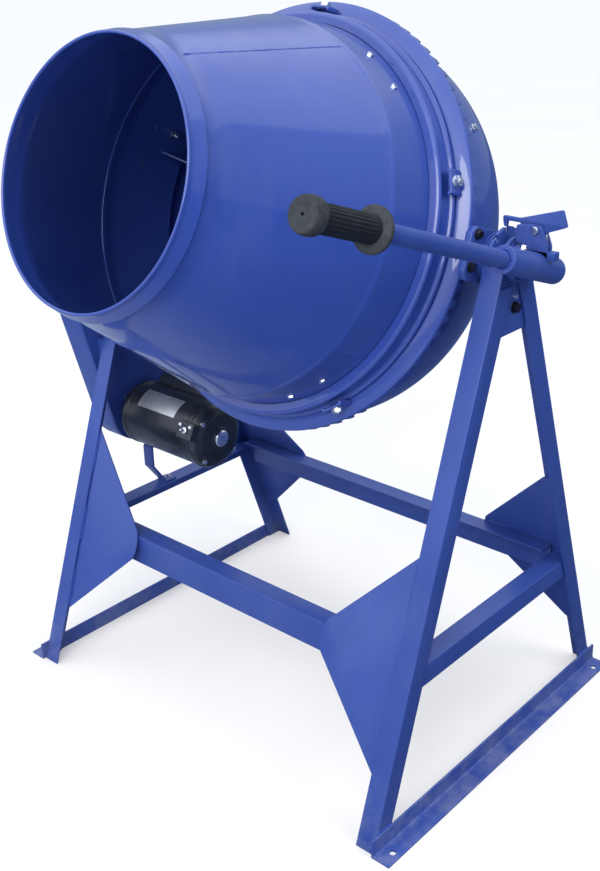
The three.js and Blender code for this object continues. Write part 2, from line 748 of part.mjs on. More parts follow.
function pinionBush() {
  const start = YOKE_INNER_X + YOKE_THICK + 2;
  const profile = ring(TRUNNION_R - 7 - GAP, PINION_SHAFT_R + GAP, start, BEARING_OUT);
  return mirrorX(revolveX(profile, 0, 0, 24));
}

// A flat-rimmed V-belt pulley about +X, centred on x = 0.
function pulley(outerR, hubR, bore, webHalf, segments) {
  const half = PULLEY_WIDTH / 2;
  const grooveR = outerR - 0.5 - BELT_THICK - 0.5;
  const grooveHalf = BELT_WIDTH / 2 + 0.5;
  const rimR = Math.max(grooveR - 7, hubR);
  const outline = [[bore, -half], [hubR, -half]];
  if (webHalf) outline.push([hubR, -webHalf], [rimR, -webHalf], [rimR, -half]);
  outline.push([outerR, -half], [outerR, -grooveHalf - 2], [grooveR, -grooveHalf]);
  outline.push([grooveR, grooveHalf], [outerR, grooveHalf + 2], [outerR, half]);
  if (webHalf) outline.push([rimR, half], [rimR, webHalf], [hubR, webHalf]);
  outline.push([hubR, half], [bore, half]);
  return revolve(outline, segments).rotate([0, 90, 0]);
}

function largePulley() {
  const wheel = pulley(LARGE_PULLEY_R, 30, PINION_SHAFT_R + GAP, 3, 48);
  const windows = [];
  for (let i = 0; i < 5; i++) {
    const window = revolve(disc(38, -20, 20), 16).rotate([0, 90, 0]).translate([0, 105, 0]);
    windows.push(window.rotate([72 * i, 0, 0]));
  }
  return wheel.subtract(union(...windows)).translate([PULLEY_X, 0, 0]);
}

function addPinionShaft() {
  addPart("pinion_bush", pinionBush(), BRONZE, tiltGroup);
  addPart("pinion", pinion(), CAST, tiltGroup);
  addPart("pinion_shaft", pinionShaft(), ZINC, tiltGroup);
  addPart("large_pulley", largePulley(), CAST, tiltGroup);
}

// ---------------------------------------------------------------- motor, belt and guard

// The outline of a band round two circles in (y, z): the tilt axis and the motor's axis.
function teardrop(topR, footR) {
  const dy = MOTOR_Y;
  const dz = MOTOR_Z - PIVOT_HEIGHT;
  const distance = Math.hypot(dy, dz);
  const along = Math.atan2(dz, dy);
  const spread = Math.acos((topR - footR) / distance);
  const outline = new THREE.Shape();
  outline.absarc(0, PIVOT_HEIGHT, topR, along + spread, along - spread + 2 * Math.PI, false);
  outline.absarc(MOTOR_Y, MOTOR_Z, footR, along - spread, along + spread, false);
  outline.closePath();
  return outline;
}

function loopPlate(topR, footR, x0, x1) {
  const geometry = extrude(teardrop(topR, footR), x1 - x0, 20);
  geometry.rotateY(Math.PI / 2).rotateX(Math.PI / 2).translate(x0, 0, 0);
  return toSolid(geometry);
}

function vBelt() {
  const outer = LARGE_PULLEY_R - 0.5;
  const outerSmall = SMALL_PULLEY_R - 0.5;
  const x0 = PULLEY_X - BELT_WIDTH / 2;
  const x1 = PULLEY_X + BELT_WIDTH / 2;
  const inside = loopPlate(outer - BELT_THICK, outerSmall - BELT_THICK, x0 - 1, x1 + 1);
  return loopPlate(outer, outerSmall, x0, x1).subtract(inside);
}

// A pan over the belt, open towards the stand.
function beltGuard() {
  const x0 = GUARD_BACK_X - GUARD_DEPTH;
  const inside = loopPlate(
    GUARD_TOP_R - GUARD_SHEET, GUARD_FOOT_R - GUARD_SHEET, x0 + GUARD_SHEET, GUARD_BACK_X,
  );
  return loopPlate(GUARD_TOP_R, GUARD_FOOT_R, x0, GUARD_BACK_X - 3 - GAP).subtract(inside);
}

// The guard's back, welded to a flat strap between the two left legs.
function guardBackPlate() {
  const bearing = revolveX(disc(BEARING_R + 4, -500, -440), 0, PIVOT_HEIGHT);
  const shaft = revolveX(disc(MOTOR_SHAFT_R + 8, -500, -440), MOTOR_Y, MOTOR_Z);
  const plate = loopPlate(GUARD_TOP_R, GUARD_FOOT_R, GUARD_BACK_X - 3, GUARD_BACK_X);
  const strapZ = 640;
  const reach = -legY(strapZ) - 6;
  const strap = box(
    GUARD_BACK_X - 1, -HALF_WIDTH - GAP, -reach, reach, strapZ - 20, strapZ + 20,
  );
  return union(plate, strap).subtract(union(bearing, shaft));
}

function motorShell() {
  const profile = disc(MOTOR_R, MOTOR_LEFT + BELL_LENGTH + GAP, MOTOR_RIGHT - BELL_LENGTH - GAP);
  return revolveX(profile, MOTOR_Y, MOTOR_Z, 32);
}

function motorBell(side) {
  const bore = side < 0 ? MOTOR_SHAFT_R + GAP : 0;
  const profile = [
    [bore, 0], [MOTOR_R - 1, 0], [MOTOR_R + 1, 2], [MOTOR_R + 1, 10], [MOTOR_R - 4, 20],
    [MOTOR_R - 18, BELL_LENGTH - 4], [24, BELL_LENGTH - 2], [22, BELL_LENGTH], [bore, BELL_LENGTH],
  ];
  const bell = revolve(profile, 32).rotate([0, 90 * side, 0]);
  const x = side < 0 ? MOTOR_LEFT + BELL_LENGTH : MOTOR_RIGHT - BELL_LENGTH;
  return bell.translate([x, MOTOR_Y, MOTOR_Z]);
}

// A round box lying along the top of the motor, towards the back.
function capacitorCover() {
  const behind = 35 * RAD; // from straight up
  const distance = MOTOR_R + 8;
  const y = MOTOR_Y + distance * Math.sin(behind);
  const z = MOTOR_Z + distance * Math.cos(behind);
  const shell = revolveX(disc(MOTOR_R + 1 + GAP, -500, -100), MOTOR_Y, MOTOR_Z, 32);
  return revolveX(disc(21, -425, -255), y, z, 28).subtract(shell);
}

// The switch box sits high on the motor's front, near its right end.
const SWITCH_X = -240;
const SWITCH_ANGLE = -25; // degrees below straight ahead
const SWITCH_OUT = MOTOR_R + 12;
const TOGGLE_BORE_R = 4.5;

function onMotor(solid) {
  return solid.rotate([SWITCH_ANGLE, 0, 0]).translate([SWITCH_X, MOTOR_Y, MOTOR_Z]);
}

function switchBox() {
  const half = 22;
  const block = box(-half, half, -SWITCH_OUT, -50, -18, 18);
  const shell = revolveX(disc(MOTOR_R + 1 + GAP, -60, 60), 0, 0, 32);
  const bore = revolve(disc(TOGGLE_BORE_R, 0, 20), 20)
    .rotate([90, 0, 0])
    .translate([0, 9 - SWITCH_OUT, 0]);
  return onMotor(block.subtract(union(shell, bore)));
}

function switchToggle() {
  const lever = revolve([[0, -3], [3, -3], [3, 0], [2.2, 10], [2.8, 12], [0, 12.5]], 16);
  return onMotor(lever.rotate([90, 0, 0]).translate([0, -SWITCH_OUT - 1, 0]));
}

// A bent flat bar: a tab under the motor's belly, a drop, and a slope to the left side brace.
function motorStrut() {
  const thick = 5;
  const top = MOTOR_Z - MOTOR_R - 1 - GAP - 1;
  const foot = BRACE_TOP + GAP;
  const knee = 352;
  const frontY = -64;
  const backY = frontY + thick;
  const outline = shapeOf([
    [backY, top], [frontY, top - thick + 1], [frontY, knee - 2], [-30, foot + thick],
    [-30, foot], [0, foot], [0, foot + thick], [-27, foot + thick + 0.5], [backY, knee],
    [backY, top - thick], [-24, top - thick], [-24, top],
  ]);
  return plateYZ(outline, -440, -412);
}

function motorShaft() {
  const end = PULLEY_X - PULLEY_WIDTH / 2 - 4;
  return revolveX(disc(MOTOR_SHAFT_R, end, MOTOR_LEFT + BELL_LENGTH), MOTOR_Y, MOTOR_Z, 20);
}

function motorPulley() {
  const solid = pulley(SMALL_PULLEY_R, 20, MOTOR_SHAFT_R + GAP, 0, 24);
  return solid.translate([PULLEY_X, MOTOR_Y, MOTOR_Z]);
}

function addDrive() {
  addPart("motor_shell", motorShell(), BLACK_PAINT);
  addPart("motor_bell_left", motorBell(-1), BLACK_PAINT);
  addPart("motor_bell_right", motorBell(1), BLACK_PAINT);
  addPart("capacitor_cover", capacitorCover(), BLACK_PAINT);
  addPart("switch_box", switchBox(), BLACK_PAINT);
  addPart("switch_toggle", switchToggle(), ZINC);
  addPart("motor_shaft", motorShaft(), ZINC);
  addPart("motor_pulley", motorPulley(), CAST);
  addPart("motor_strut", motorStrut(), BLUE);
  addPart("v_belt", vBelt(), RUBBER);
  addPart("belt_guard", beltGuard(), BLUE);
  addPart("guard_back_plate", guardBackPlate(), BLUE);
}

// ---------------------------------------------------------------- assembly

addStand();
addTiltLock();
addYoke();
addDrum();
addPinionShaft();
addDrive();

const bounds = new THREE.Box3().setFromObject(mixer, true);
const centre = bounds.getCenter(new THREE.Vector3());
mixer.position.set(-centre.x, -centre.y, -bounds.min.z);

const part = new THREE.Group();
part.add(mixer);
export default part;
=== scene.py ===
"""The visual model of a tilting-drum concrete mixer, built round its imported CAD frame.

Pieces are drawn in millimetres in one of two spaces and written in metres in the row frame:
STAND has its origin on the floor under the tilt axis, and TILT has it on the tilt axis with +Z
along the drum's axis, towards the mouth.
"""

import json
import math

import bmesh
import bpy
from mathutils import Matrix, Vector, noise


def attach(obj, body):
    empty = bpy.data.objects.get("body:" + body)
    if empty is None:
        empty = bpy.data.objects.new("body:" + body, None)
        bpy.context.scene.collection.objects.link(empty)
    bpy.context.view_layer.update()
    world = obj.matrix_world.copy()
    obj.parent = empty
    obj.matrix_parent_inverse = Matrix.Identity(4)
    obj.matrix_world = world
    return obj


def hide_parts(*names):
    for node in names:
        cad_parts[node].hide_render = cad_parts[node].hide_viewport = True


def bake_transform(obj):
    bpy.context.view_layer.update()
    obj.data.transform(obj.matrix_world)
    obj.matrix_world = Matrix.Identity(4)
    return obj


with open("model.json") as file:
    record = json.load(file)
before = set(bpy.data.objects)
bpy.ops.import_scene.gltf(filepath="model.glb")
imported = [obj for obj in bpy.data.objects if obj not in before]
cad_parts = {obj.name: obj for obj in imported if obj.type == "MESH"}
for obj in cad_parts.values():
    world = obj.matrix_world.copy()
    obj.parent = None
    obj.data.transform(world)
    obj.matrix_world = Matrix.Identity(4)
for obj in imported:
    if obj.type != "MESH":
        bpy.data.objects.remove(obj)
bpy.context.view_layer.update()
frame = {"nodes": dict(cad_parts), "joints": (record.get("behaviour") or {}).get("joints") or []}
noise.seed_set(7)  # noise_vector, which the weld beads use, takes its offsets from this seed

# ---------------------------------------------------------------- spaces and dimensions


def joint(name):
    return next(j for j in frame["joints"] if j["name"] == name)


def shift(x=0.0, y=0.0, z=0.0):
    return Matrix.Translation((x, y, z))


def turn(degrees, axis):
    return Matrix.Rotation(math.radians(degrees), 4, axis)


def facing(direction):
    """The turn that takes +Z to a direction."""
    return Vector(direction).to_track_quat("Z", "Y").to_matrix().to_4x4()


MM = Matrix.Scale(0.001, 4)
PIVOT = Vector(joint("drum_tilt")["pos_m"])
DRUM_AXIS = Vector(joint("drum_spin")["axis"])
PIVOT_Z = PIVOT.z * 1000
STAND = shift(PIVOT.x, PIVOT.y) @ MM
TILT = (
    Matrix.Translation(PIVOT)
    @ Matrix.Rotation(math.atan2(-DRUM_AXIS.y, DRUM_AXIS.z), 4, "X")
    @ MM
)
SAME = Matrix.Identity(4)
MIRROR_X = Matrix.Scale(-1, 4, (1, 0, 0))
MIRROR_Y = Matrix.Scale(-1, 4, (0, 1, 0))
TURN_TO_X = turn(90, "Y")  # a revolved piece's +Z becomes +X
TURN_TO_FRONT = turn(90, "X")  # a revolved piece's +Z becomes -Y
IN_YZ = Matrix(((0, 0, 1, 0), (1, 0, 0, 0), (0, 1, 0, 0), (0, 0, 0, 1)))
IN_XZ = Matrix(((1, 0, 0, 0), (0, 0, -1, 0), (0, 1, 0, 0), (0, 0, 0, 1)))

GAP = 0.3
HALF_WIDTH = 450
FLANGE, STEEL, GUSSET_STEEL, APEX_STEEL = 38, 4, 3, 6
LEG_FOOT_Y, LEG_SPLAY = 367.5, 0.346
LEAN = math.hypot(1, LEG_SPLAY)
SHEAR = Matrix(((1, 0, 0, 0), (0, 1, LEG_SPLAY, 0), (0, 0, 1, 0), (0, 0, 0, 1)))
LEG_TOP, LEG_FRONT_TOP = 914, 948
RAIL_HALF_LENGTH, RAIL_HEIGHT = 373, 36
BRACE_TOP = 300
CROSS_TOP, CROSS_DEPTH = 316, 61
BEHIND_GUSSET = (STEEL + GUSSET_STEEL) * LEAN + 2 * GAP
SIDES = (("right", SAME), ("left", MIRROR_X))
ENDS = ((1, "rear"), (-1, "front"))
CORNERS = (
    ("front_right", SAME),
    ("front_left", MIRROR_X),
    ("rear_right", MIRROR_Y),
    ("rear_left", MIRROR_X @ MIRROR_Y),
)

MOUTH_T, MOUTH_R, MOUTH_BAND, LIP_R = 511, 208.5, 29, 2.7
SHOULDER_T, SHOULDER_R = 184, 323
CONE_SLOPE = (SHOULDER_R - MOUTH_R) / (MOUTH_T - SHOULDER_T)
JOINT_T, JOINT_R = 24, 338
BOWL_R, BOWL_DEPTH, BOWL_POWER = 360, 247.5, 2.4
SHEET = 3
RING_TEETH, RING_OUTER_R, RING_ROOT_T, RING_TIP_T = 84, 381.6, 43.09, 29.6
RING_FRONT_T = RING_ROOT_T + 14
HOOP_FRONT_T = 101
LUG_COUNT, FIRST_LUG_ANGLE = 5, 16.8
PADDLE_ANGLES = (51.5, 166, 303.5)
YOKE = "tilting_yoke"
YOKE_INNER_X, YOKE_THICK, YOKE_WIDTH, YOKE_DEPTH = 391, 12, 50, 270
YOKE_OUTER_X, YOKE_BACK = YOKE_INNER_X + YOKE_THICK, -YOKE_DEPTH - YOKE_THICK
YOKE_ARM, YOKE_END_WIDTH = 76, 88
TRUNNION_R, TRUNNION_FLANGE_R, BEARING_R = 24, 40, 31
SHAFT_HOLE_R, SPINDLE_R = 12.8, 17.5
HANDLE_X, SOCKET_R, HANDLE_R, GRIP_START, GRIP_END = 490, 22, 14, 436, 584
MOTOR_Y, MOTOR_Z, MOTOR_R = -45, 472, 68
MOTOR_LEFT, MOTOR_RIGHT, BELL_LENGTH = -463, -210, 32
GUARD_BACK_X, GUARD_DEPTH, GUARD_TOP_R, GUARD_FOOT_R = -466, 70, 236, 70
LATCH_R, LATCH_PIN_X, LATCH_PIN_Z, SADDLE_TOP = 56, 484, PIVOT_Z + 60, 978
LATCH_STEEL = 6
NOTCH_ANGLES = (-50, -25, 0, 35, 70)

# ---------------------------------------------------------------- outlines


def arc(cx, cy, radius, start, end, steps):
    """Points from start to end degrees, both included."""
    angles = [math.radians(start + (end - start) * i / steps) for i in range(steps + 1)]
    return [(cx + radius * math.cos(a), cy + radius * math.sin(a)) for a in angles]


def circle(cx, cy, radius, steps=32):
    return arc(cx, cy, radius, 0, 360, steps)[:-1]


def polar(radius, degrees, z):
    a = math.radians(degrees)
    return (radius * math.cos(a), radius * math.sin(a), z)


def fillet(points, radii, steps=5):
    """The outline with each corner rounded; radii is one number or one for each corner."""
    count = len(points)
    if not isinstance(radii, (list, tuple)):
        radii = [radii] * count
    rounded = []
    for i, radius in enumerate(radii):
        before, here, after = (Vector(points[(i + k) % count]) for k in (-1, 0, 1))
        to_before, to_after = before - here, after - here
        if radius <= 0 or min(to_before.length, to_after.length) < 1e-6:
            rounded.append(tuple(here))
            continue
        half = to_before.angle(to_after) / 2
        if half > math.radians(88) or half < math.radians(2):
            rounded.append(tuple(here))
            continue
        reach = min(radius / math.tan(half), 0.49 * to_before.length, 0.49 * to_after.length)
        p0 = here + to_before.normalized() * reach
        p2 = here + to_after.normalized() * reach
        for k in range(steps + 1):
            u = k / steps
            rounded.append(tuple(p0 * (1 - u) ** 2 + here * 2 * u * (1 - u) + p2 * u * u))
    return rounded


def leg_y(z):
    """Outer face of the front legs at height z."""
    return -LEG_FOOT_Y + LEG_SPLAY * z


def angle_iron(x, z, along, up, corner_r, lean=1.0):
    """An L with its outer corner at (x, z), and arms of the signed lengths along and up."""
    wall, floor = math.copysign(STEEL, along), math.copysign(STEEL * lean, up)
    points = [(x, z), (x + along, z), (x + along, z + floor)]
    points += [(x + wall, z + floor), (x + wall, z + up), (x, z + up)]
    return fillet(points, [corner_r, 0.8, 2.6, 4.5, 2.6, 0.8])


def super_arc(side_r, depth, start, end, steps):
    """A quarter or half of the bowl-shaped superellipse, as (radius, height) points."""
    points = []
    for i in range(steps + 1):
        a = math.radians(start + (end - start) * i / steps)
        c, s = math.cos(a), abs(math.sin(a))
        r = side_r * math.copysign(abs(c) ** (2 / BOWL_POWER), c)
        points.append((r, -depth * s ** (2 / BOWL_POWER)))
    return points


# ---------------------------------------------------------------- mesh makers, in millimetres


def plate(outline, depth, holes=(), bevel=0.7):
    """A solid from z = 0 to depth, with rounded rims, from an outline and round or free holes."""
    curve = bpy.data.curves.new("plate", "CURVE")
    curve.dimensions = "2D"
    curve.fill_mode = "BOTH"
    curve.extrude = depth / 2 - bevel
    curve.bevel_depth = bevel
    curve.bevel_resolution = 1
    curve.offset = -bevel
    for points in (outline, *holes):
        spline = curve.splines.new("POLY")
        spline.points.add(len(points) - 1)
        for point, (x, y) in zip(spline.points, points):
            point.co = (x, y, 0, 1)
        spline.use_cyclic_u = True
    holder = bpy.data.objects.new("plate", curve)
    bm = bmesh.new()
    bm.from_mesh(holder.to_mesh())
    holder.to_mesh_clear()
    bpy.data.objects.remove(holder)
    bpy.data.curves.remove(curve)
    bmesh.ops.translate(bm, verts=bm.verts, vec=(0, 0, depth / 2))
    bmesh.ops.remove_doubles(bm, verts=bm.verts, dist=1e-3)
    bmesh.ops.recalc_face_normals(bm, faces=bm.faces)
    return bm


def moved(bm, matrix):
    bm.transform(matrix)
    if matrix.to_3x3().determinant() < 0:
        bmesh.ops.reverse_faces(bm, faces=bm.faces)
    return bm


def side_plate(outline, x, depth, holes=(), bevel=0.7):
    """A plate drawn in (y, z) that reaches from x to x + depth."""
    return moved(plate(outline, depth, holes, bevel), shift(x) @ IN_YZ)


def front_plate(outline, y, depth, holes=(), bevel=0.7):
    """A plate drawn in (x, z) that reaches from y to y - depth."""
    return moved(plate(outline, depth, holes, bevel), shift(0, y) @ IN_XZ)


def revolve(profile, segments=96, warp=None):
    """A body of revolution about +Z from a closed outline of (radius, height) points."""
    bm = bmesh.new()
    rings = []
    for r, h in profile:
        if r < 1e-6:
            rings.append([bm.verts.new((0, 0, h))] * segments)
            continue
        verts = []
        for i in range(segments):
            a = 2 * math.pi * i / segments
            rr, hh = warp(r, h, a) if warp else (r, h)
            verts.append(bm.verts.new((rr * math.cos(a), rr * math.sin(a), hh)))
        rings.append(verts)
    for k in range(len(rings)):
        low, high = rings[k], rings[(k + 1) % len(rings)]
        for i in range(segments):
            j = (i + 1) % segments
            corners = []
            for v in (low[i], low[j], high[j], high[i]):
                if v not in corners:
                    corners.append(v)
            if len(corners) > 2:
                bm.faces.new(corners)
    bmesh.ops.recalc_face_normals(bm, faces=bm.faces)
    return bm


def block(x0, x1, y0, y1, z0, z1, bevel=0.7):
    bm = plate([(x0, y0), (x1, y0), (x1, y1), (x0, y1)], z1 - z0, bevel=bevel)
    bmesh.ops.translate(bm, verts=bm.verts, vec=(0, 0, z0))
    return bm


def skin(rings, closed=False):
    """Joins each ring of points to the next one; the ends are capped, or meet if closed."""
    bm = bmesh.new()
    loops = [[bm.verts.new(point) for point in ring] for ring in rings]
    if closed:
        loops.append(loops[0])
    else:
        bm.faces.new(list(reversed(loops[0])))
        bm.faces.new(loops[-1])
    for low, high in zip(loops, loops[1:]):
        for k in range(len(low)):
            j = (k + 1) % len(low)
            bm.faces.new((low[k], low[j], high[j], high[k]))
    bmesh.ops.recalc_face_normals(bm, faces=bm.faces)
    return bm


def tube(points, radius, sides=8):
    """A closed tube along points; radius is a number or a function of the point's index."""
    points = [Vector(p) for p in points]
    normal = (points[1] - points[0]).orthogonal().normalized()
    rings = []
    for i, here in enumerate(points):
        tangent = (points[min(i + 1, len(points) - 1)] - points[max(i - 1, 0)]).normalized()
        normal = (normal - tangent * normal.dot(tangent)).normalized()
        side = tangent.cross(normal)
        r = radius(i) if callable(radius) else radius
        rings.append([here + normal * y + side * z for y, z in circle(0, 0, r, sides)])
    return skin(rings)


def hex_head(across, height):
    """A chamfered hexagon standing on z = 0. Its corners are cut lower than its flats."""
    apothem = across / 2
    corner_r = apothem / math.cos(math.pi / 6)
    top_r = apothem * 0.93
    levels = (
        ((corner_r, 0), (apothem, 0)),
        ((corner_r, height * 0.78), (apothem, height * 0.93)),
        ((top_r, height), (top_r, height)),
    )
    rings = []
    for level in levels:
        turns = [(30 * k, *level[k % 2]) for k in range(12)]
        rings.append([polar(r, degrees, z) for degrees, r, z in turns])
    return skin(rings)


def joined(*parts):
    """Several bmeshes, each already in place, as one."""
    total = bmesh.new()
    for part in parts:
        mesh = bpy.data.meshes.new("part")
        part.to_mesh(mesh)
        part.free()
        total.from_mesh(mesh)
        bpy.data.meshes.remove(mesh)
    return total


# ---------------------------------------------------------------- pieces


def add(name, body, bm, material, space=STAND, replaces=None, sharp=35):
    """One visual piece that moves with body, if it's given. Its mesh is in the row frame."""
    moved(bm, space)
    bmesh.ops.remove_doubles(bm, verts=bm.verts, dist=1e-7)
    mesh = bpy.data.meshes.new(name)
    bm.to_mesh(mesh)
    bm.free()
    mesh.polygons.foreach_set("use_smooth", [True] * len(mesh.polygons))
    mesh.set_sharp_from_angle(angle=math.radians(sharp))
    mesh.materials.append(material)
    obj = bpy.data.objects.new(name, mesh)
    bpy.context.scene.collection.objects.link(obj)
    if body:
        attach(obj, body)
    if replaces:
        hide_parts(replaces)
    return obj


def cut(obj, bm):
    """Takes the closed body bm, which is in the row frame, out of obj."""
    mesh = bpy.data.meshes.new("cutter")
    bm.to_mesh(mesh)
    bm.free()
    cutter = bpy.data.objects.new("cutter", mesh)
    bpy.context.scene.collection.objects.link(cutter)
    modifier = obj.modifiers.new("cut", "BOOLEAN")
    modifier.object = cutter
    modifier.solver = "EXACT"
    bpy.context.view_layer.update()
    result = bpy.data.meshes.new_from_object(obj.evaluated_get(bpy.context.evaluated_depsgraph_get()))
    obj.modifiers.clear()
    obj.data = result
    result.set_sharp_from_angle(angle=math.radians(35))
    bpy.data.objects.remove(cutter)


def drill(obj, space, holes):
    """Cuts round holes through obj. Each is (centre, direction, radius, length)."""
    cutters = []
    for centre, direction, radius, length in holes:
        end = length / 2
        bm = revolve([(0, -end), (radius, -end), (radius, end), (0, end)], 40)
        cutters.append(moved(bm, space @ Matrix.Translation(centre) @ facing(direction)))
    cut(obj, joined(*cutters))


def weld(name, body, points, material, space=STAND, radius=2.3):
    """A rippled weld bead along the points."""
    path = []
    for a, b in zip(points, points[1:]):
        a, b = Vector(a), Vector(b)
        steps = max(2, round((b - a).length / 1.5))
        path += [a.lerp(b, i / steps) for i in range(steps)]
    path.append(Vector(points[-1]))
    sway = [p + noise.noise_vector(p * 0.09) * 0.5 for p in path]

    def thickness(i):
        ends = min(1, 0.35 + i * 0.3, 0.35 + (len(path) - 1 - i) * 0.3)
        ripple = 0.84 + 0.16 * abs(math.sin(i * 0.9))
        return radius * ends * ripple * (1 + 0.15 * noise.noise(path[i] * 0.05))

    return add(name, body, tube(sway, thickness), material, space, sharp=60)


def bolt(name, body, at, direction, space, across=13, height=5.5, washer=8.5, material=None, stub=0):
    """A hexagon head on a washer, standing on the point at, along direction."""
    thick = 1.6
    top = thick + height
    parts = [
        revolve(fillet([(0, 0), (washer, 0), (washer, thick), (0, thick)], [0, 0, 0.5, 0], 3), 40),
        moved(hex_head(across, height), shift(0, 0, thick) @ Matrix.Rotation(0.4, 4, "Z")),
    ]
    if stub:
        r, end = across * 0.28, top + stub
        tip = [(0, top - 0.5), (r, top - 0.5), (r, end - 1), (across * 0.2, end), (0, end)]
        parts.append(revolve(tip, 24))
    bm = moved(joined(*parts), Matrix.Translation(at) @ facing(direction))
    return add(name, body, bm, material or ZINC, space, sharp=28)


def bolts(name, body, points, *rest):
    """A bolt at each point, numbered from 1."""
    for k, at in enumerate(points):
        bolt(f"{name}_{k + 1}", body, at, *rest)


# ---------------------------------------------------------------- materials


class Nodes:
    """A small writer for the node tree of a new material or world."""

    def __init__(self, name, kind="materials"):
        self.owner = getattr(bpy.data, kind).new(name)
        self.owner.use_nodes = True
        self.tree = self.owner.node_tree
        self.place = self.add("ShaderNodeTexCoord").outputs["Object"]

    def add(self, node_type, **values):
        node = self.tree.nodes.new(node_type)
        for key, value in values.items():
            if hasattr(node, key):
                setattr(node, key, value)
            else:
                self.put(node.inputs[key.replace("_", " ")], value)
        return node

    def put(self, socket, value):
        """Links a socket to a node's output, or sets it to a number, a vector or a colour."""
        if isinstance(value, bpy.types.NodeSocket):
            self.tree.links.new(value, socket)
        else:
            socket.default_value = (*value, 1.0) if socket.type == "RGBA" else value

    def noise(self, scale, detail=3.0, roughness=0.55, vector=None):
        node = self.add("ShaderNodeTexNoise", Scale=scale, Detail=detail, Roughness=roughness)
        self.put(node.inputs["Vector"], vector or self.place)
        return node.outputs["Fac"]

    def range(self, value, from_low, from_high, to_low=0.0, to_high=1.0):
        node = self.add("ShaderNodeMapRange")
        for socket, v in zip(node.inputs, (value, from_low, from_high, to_low, to_high)):
            self.put(socket, v)
        return node.outputs["Result"]

    def math(self, operation, a, b=0.0):
        node = self.add("ShaderNodeMath", operation=operation)
        self.put(node.inputs[0], a)
        self.put(node.inputs[1], b)
        return node.outputs["Value"]

    def times(self, *factors):
        product = factors[0]
        for factor in factors[1:]:
            product = self.math("MULTIPLY", product, factor)
        return product

    def dot(self, a, b):
        node = self.add("ShaderNodeVectorMath", operation="DOT_PRODUCT")
        self.put(node.inputs[0], a)
        self.put(node.inputs[1], b)
        return node.outputs["Value"]

    def split(self, vector):
        """The X, Y and Z of a vector."""
        return list(self.add("ShaderNodeSeparateXYZ", Vector=vector).outputs)

    def mix(self, factor, a, b):
        return self.add("ShaderNodeMix", data_type="RGBA", Factor=factor, A=a, B=b).outputs["Result"]

    def bump(self, height, strength, distance, normal=None):
        node = self.add("ShaderNodeBump", Strength=strength, Distance=distance, Height=height)
        if normal:
            self.put(node.inputs["Normal"], normal)
        return node.outputs["Normal"]

    def stretched(self, x, y, z):
        return self.add("ShaderNodeMapping", Scale=(x, y, z), Vector=self.place).outputs["Vector"]

    def edges(self, radius):
        """1 along sharp edges, 0 on flat or smooth surfaces."""
        rounded = self.add("ShaderNodeBevel", samples=4, Radius=radius).outputs["Normal"]
        true_normal = self.add("ShaderNodeNewGeometry").outputs["Normal"]
        return self.range(self.dot(rounded, true_normal), 0.985, 0.86)

    def finish(self, **values):
        for key, value in values.items():
            self.put(self.tree.nodes["Principled BSDF"].inputs[key.replace("_", " ")], value)
        return self.owner


def enamel(name, deep, light, roughness, floor_dust=0.0, coat=0.3, gloss=0.22, wear=0.55):
    """Gloss paint on steel: slow tone drift, orange peel, rubbed edges and dust near the floor."""
    n = Nodes(name)
    colour = n.mix(n.range(n.noise(5.0, 4.0), 0.35, 0.65), deep, light)
    if wear:
        patches = n.range(n.noise(38.0, 5.0, 0.7), 0.5, 0.66)
        colour = n.mix(n.times(n.edges(0.0012), patches, wear), colour, (0.20, 0.23, 0.36))
    streak = n.range(n.noise(9.0, 5.0, 0.65, n.stretched(1.0, 1.0, 0.25)), 0.52, 0.75)
    dusty = n.times(streak, 0.08)
    if floor_dust:
        low = n.range(n.split(n.place)[2], 0.14, 0.0)
        settled = n.times(low, n.range(n.noise(22.0, 5.0, 0.7), 0.4, 0.7), floor_dust)
        dusty = n.math("ADD", dusty, settled)
    colour = n.mix(dusty, colour, (0.30, 0.31, 0.36))
    rough = n.range(n.noise(16.0, 4.0), 0.3, 0.7, roughness - 0.06, roughness + 0.10)
    rough = n.math("ADD", rough, n.times(dusty, 0.8))
    peel = n.bump(n.noise(420.0, 2.0), 0.10, 0.0004)
    waves = n.bump(n.noise(7.0, 1.0), 0.06, 0.004, peel)
    return n.finish(
        Base_Color=colour, Roughness=rough, Normal=waves, Coat_Weight=coat, Coat_Roughness=gloss,
        Specular_IOR_Level=0.4,
    )


def plated(name, low, high, roughness, metallic=1.0, stain=(0.30, 0.28, 0.22)):
    """Bright or bare metal with fine scratches, a little staining and dull patches."""
    n = Nodes(name)
    cloud = n.range(n.noise(60.0, 4.0), 0.35, 0.65)
    colour = n.mix(cloud, low, high)
    spots = n.range(n.noise(210.0, 5.0, 0.7), 0.58, 0.70)
    colour = n.mix(n.times(spots, 0.35), colour, stain)
    scratch = n.noise(900.0, 2.0, 0.5, n.stretched(1.0, 0.12, 1.0))
    return n.finish(
        Base_Color=colour, Metallic=metallic,
        Roughness=n.range(cloud, 0, 1, roughness - 0.06, roughness + 0.12),
        Normal=n.bump(scratch, 0.18, 0.0003, n.bump(n.noise(300.0), 0.12, 0.0004)),
    )


def cast(name, low, high, roughness):
    """Sand-cast iron: grainy skin, dull, with rust in the pits."""
    n = Nodes(name)
    grain = n.noise(260.0, 6.0, 0.7)
    colour = n.mix(n.range(n.noise(30.0, 4.0), 0.35, 0.7), low, high)
    colour = n.mix(n.times(n.range(grain, 0.44, 0.36), 0.5), colour, (0.14, 0.06, 0.03))
    colour = n.mix(n.times(n.edges(0.001), 0.6), colour, (0.42, 0.43, 0.45))
    return n.finish(
        Base_Color=colour, Metallic=0.75, Roughness=n.range(grain, 0.3, 0.7, roughness, roughness + 0.2),
        Normal=n.bump(grain, 0.5, 0.0006),
    )


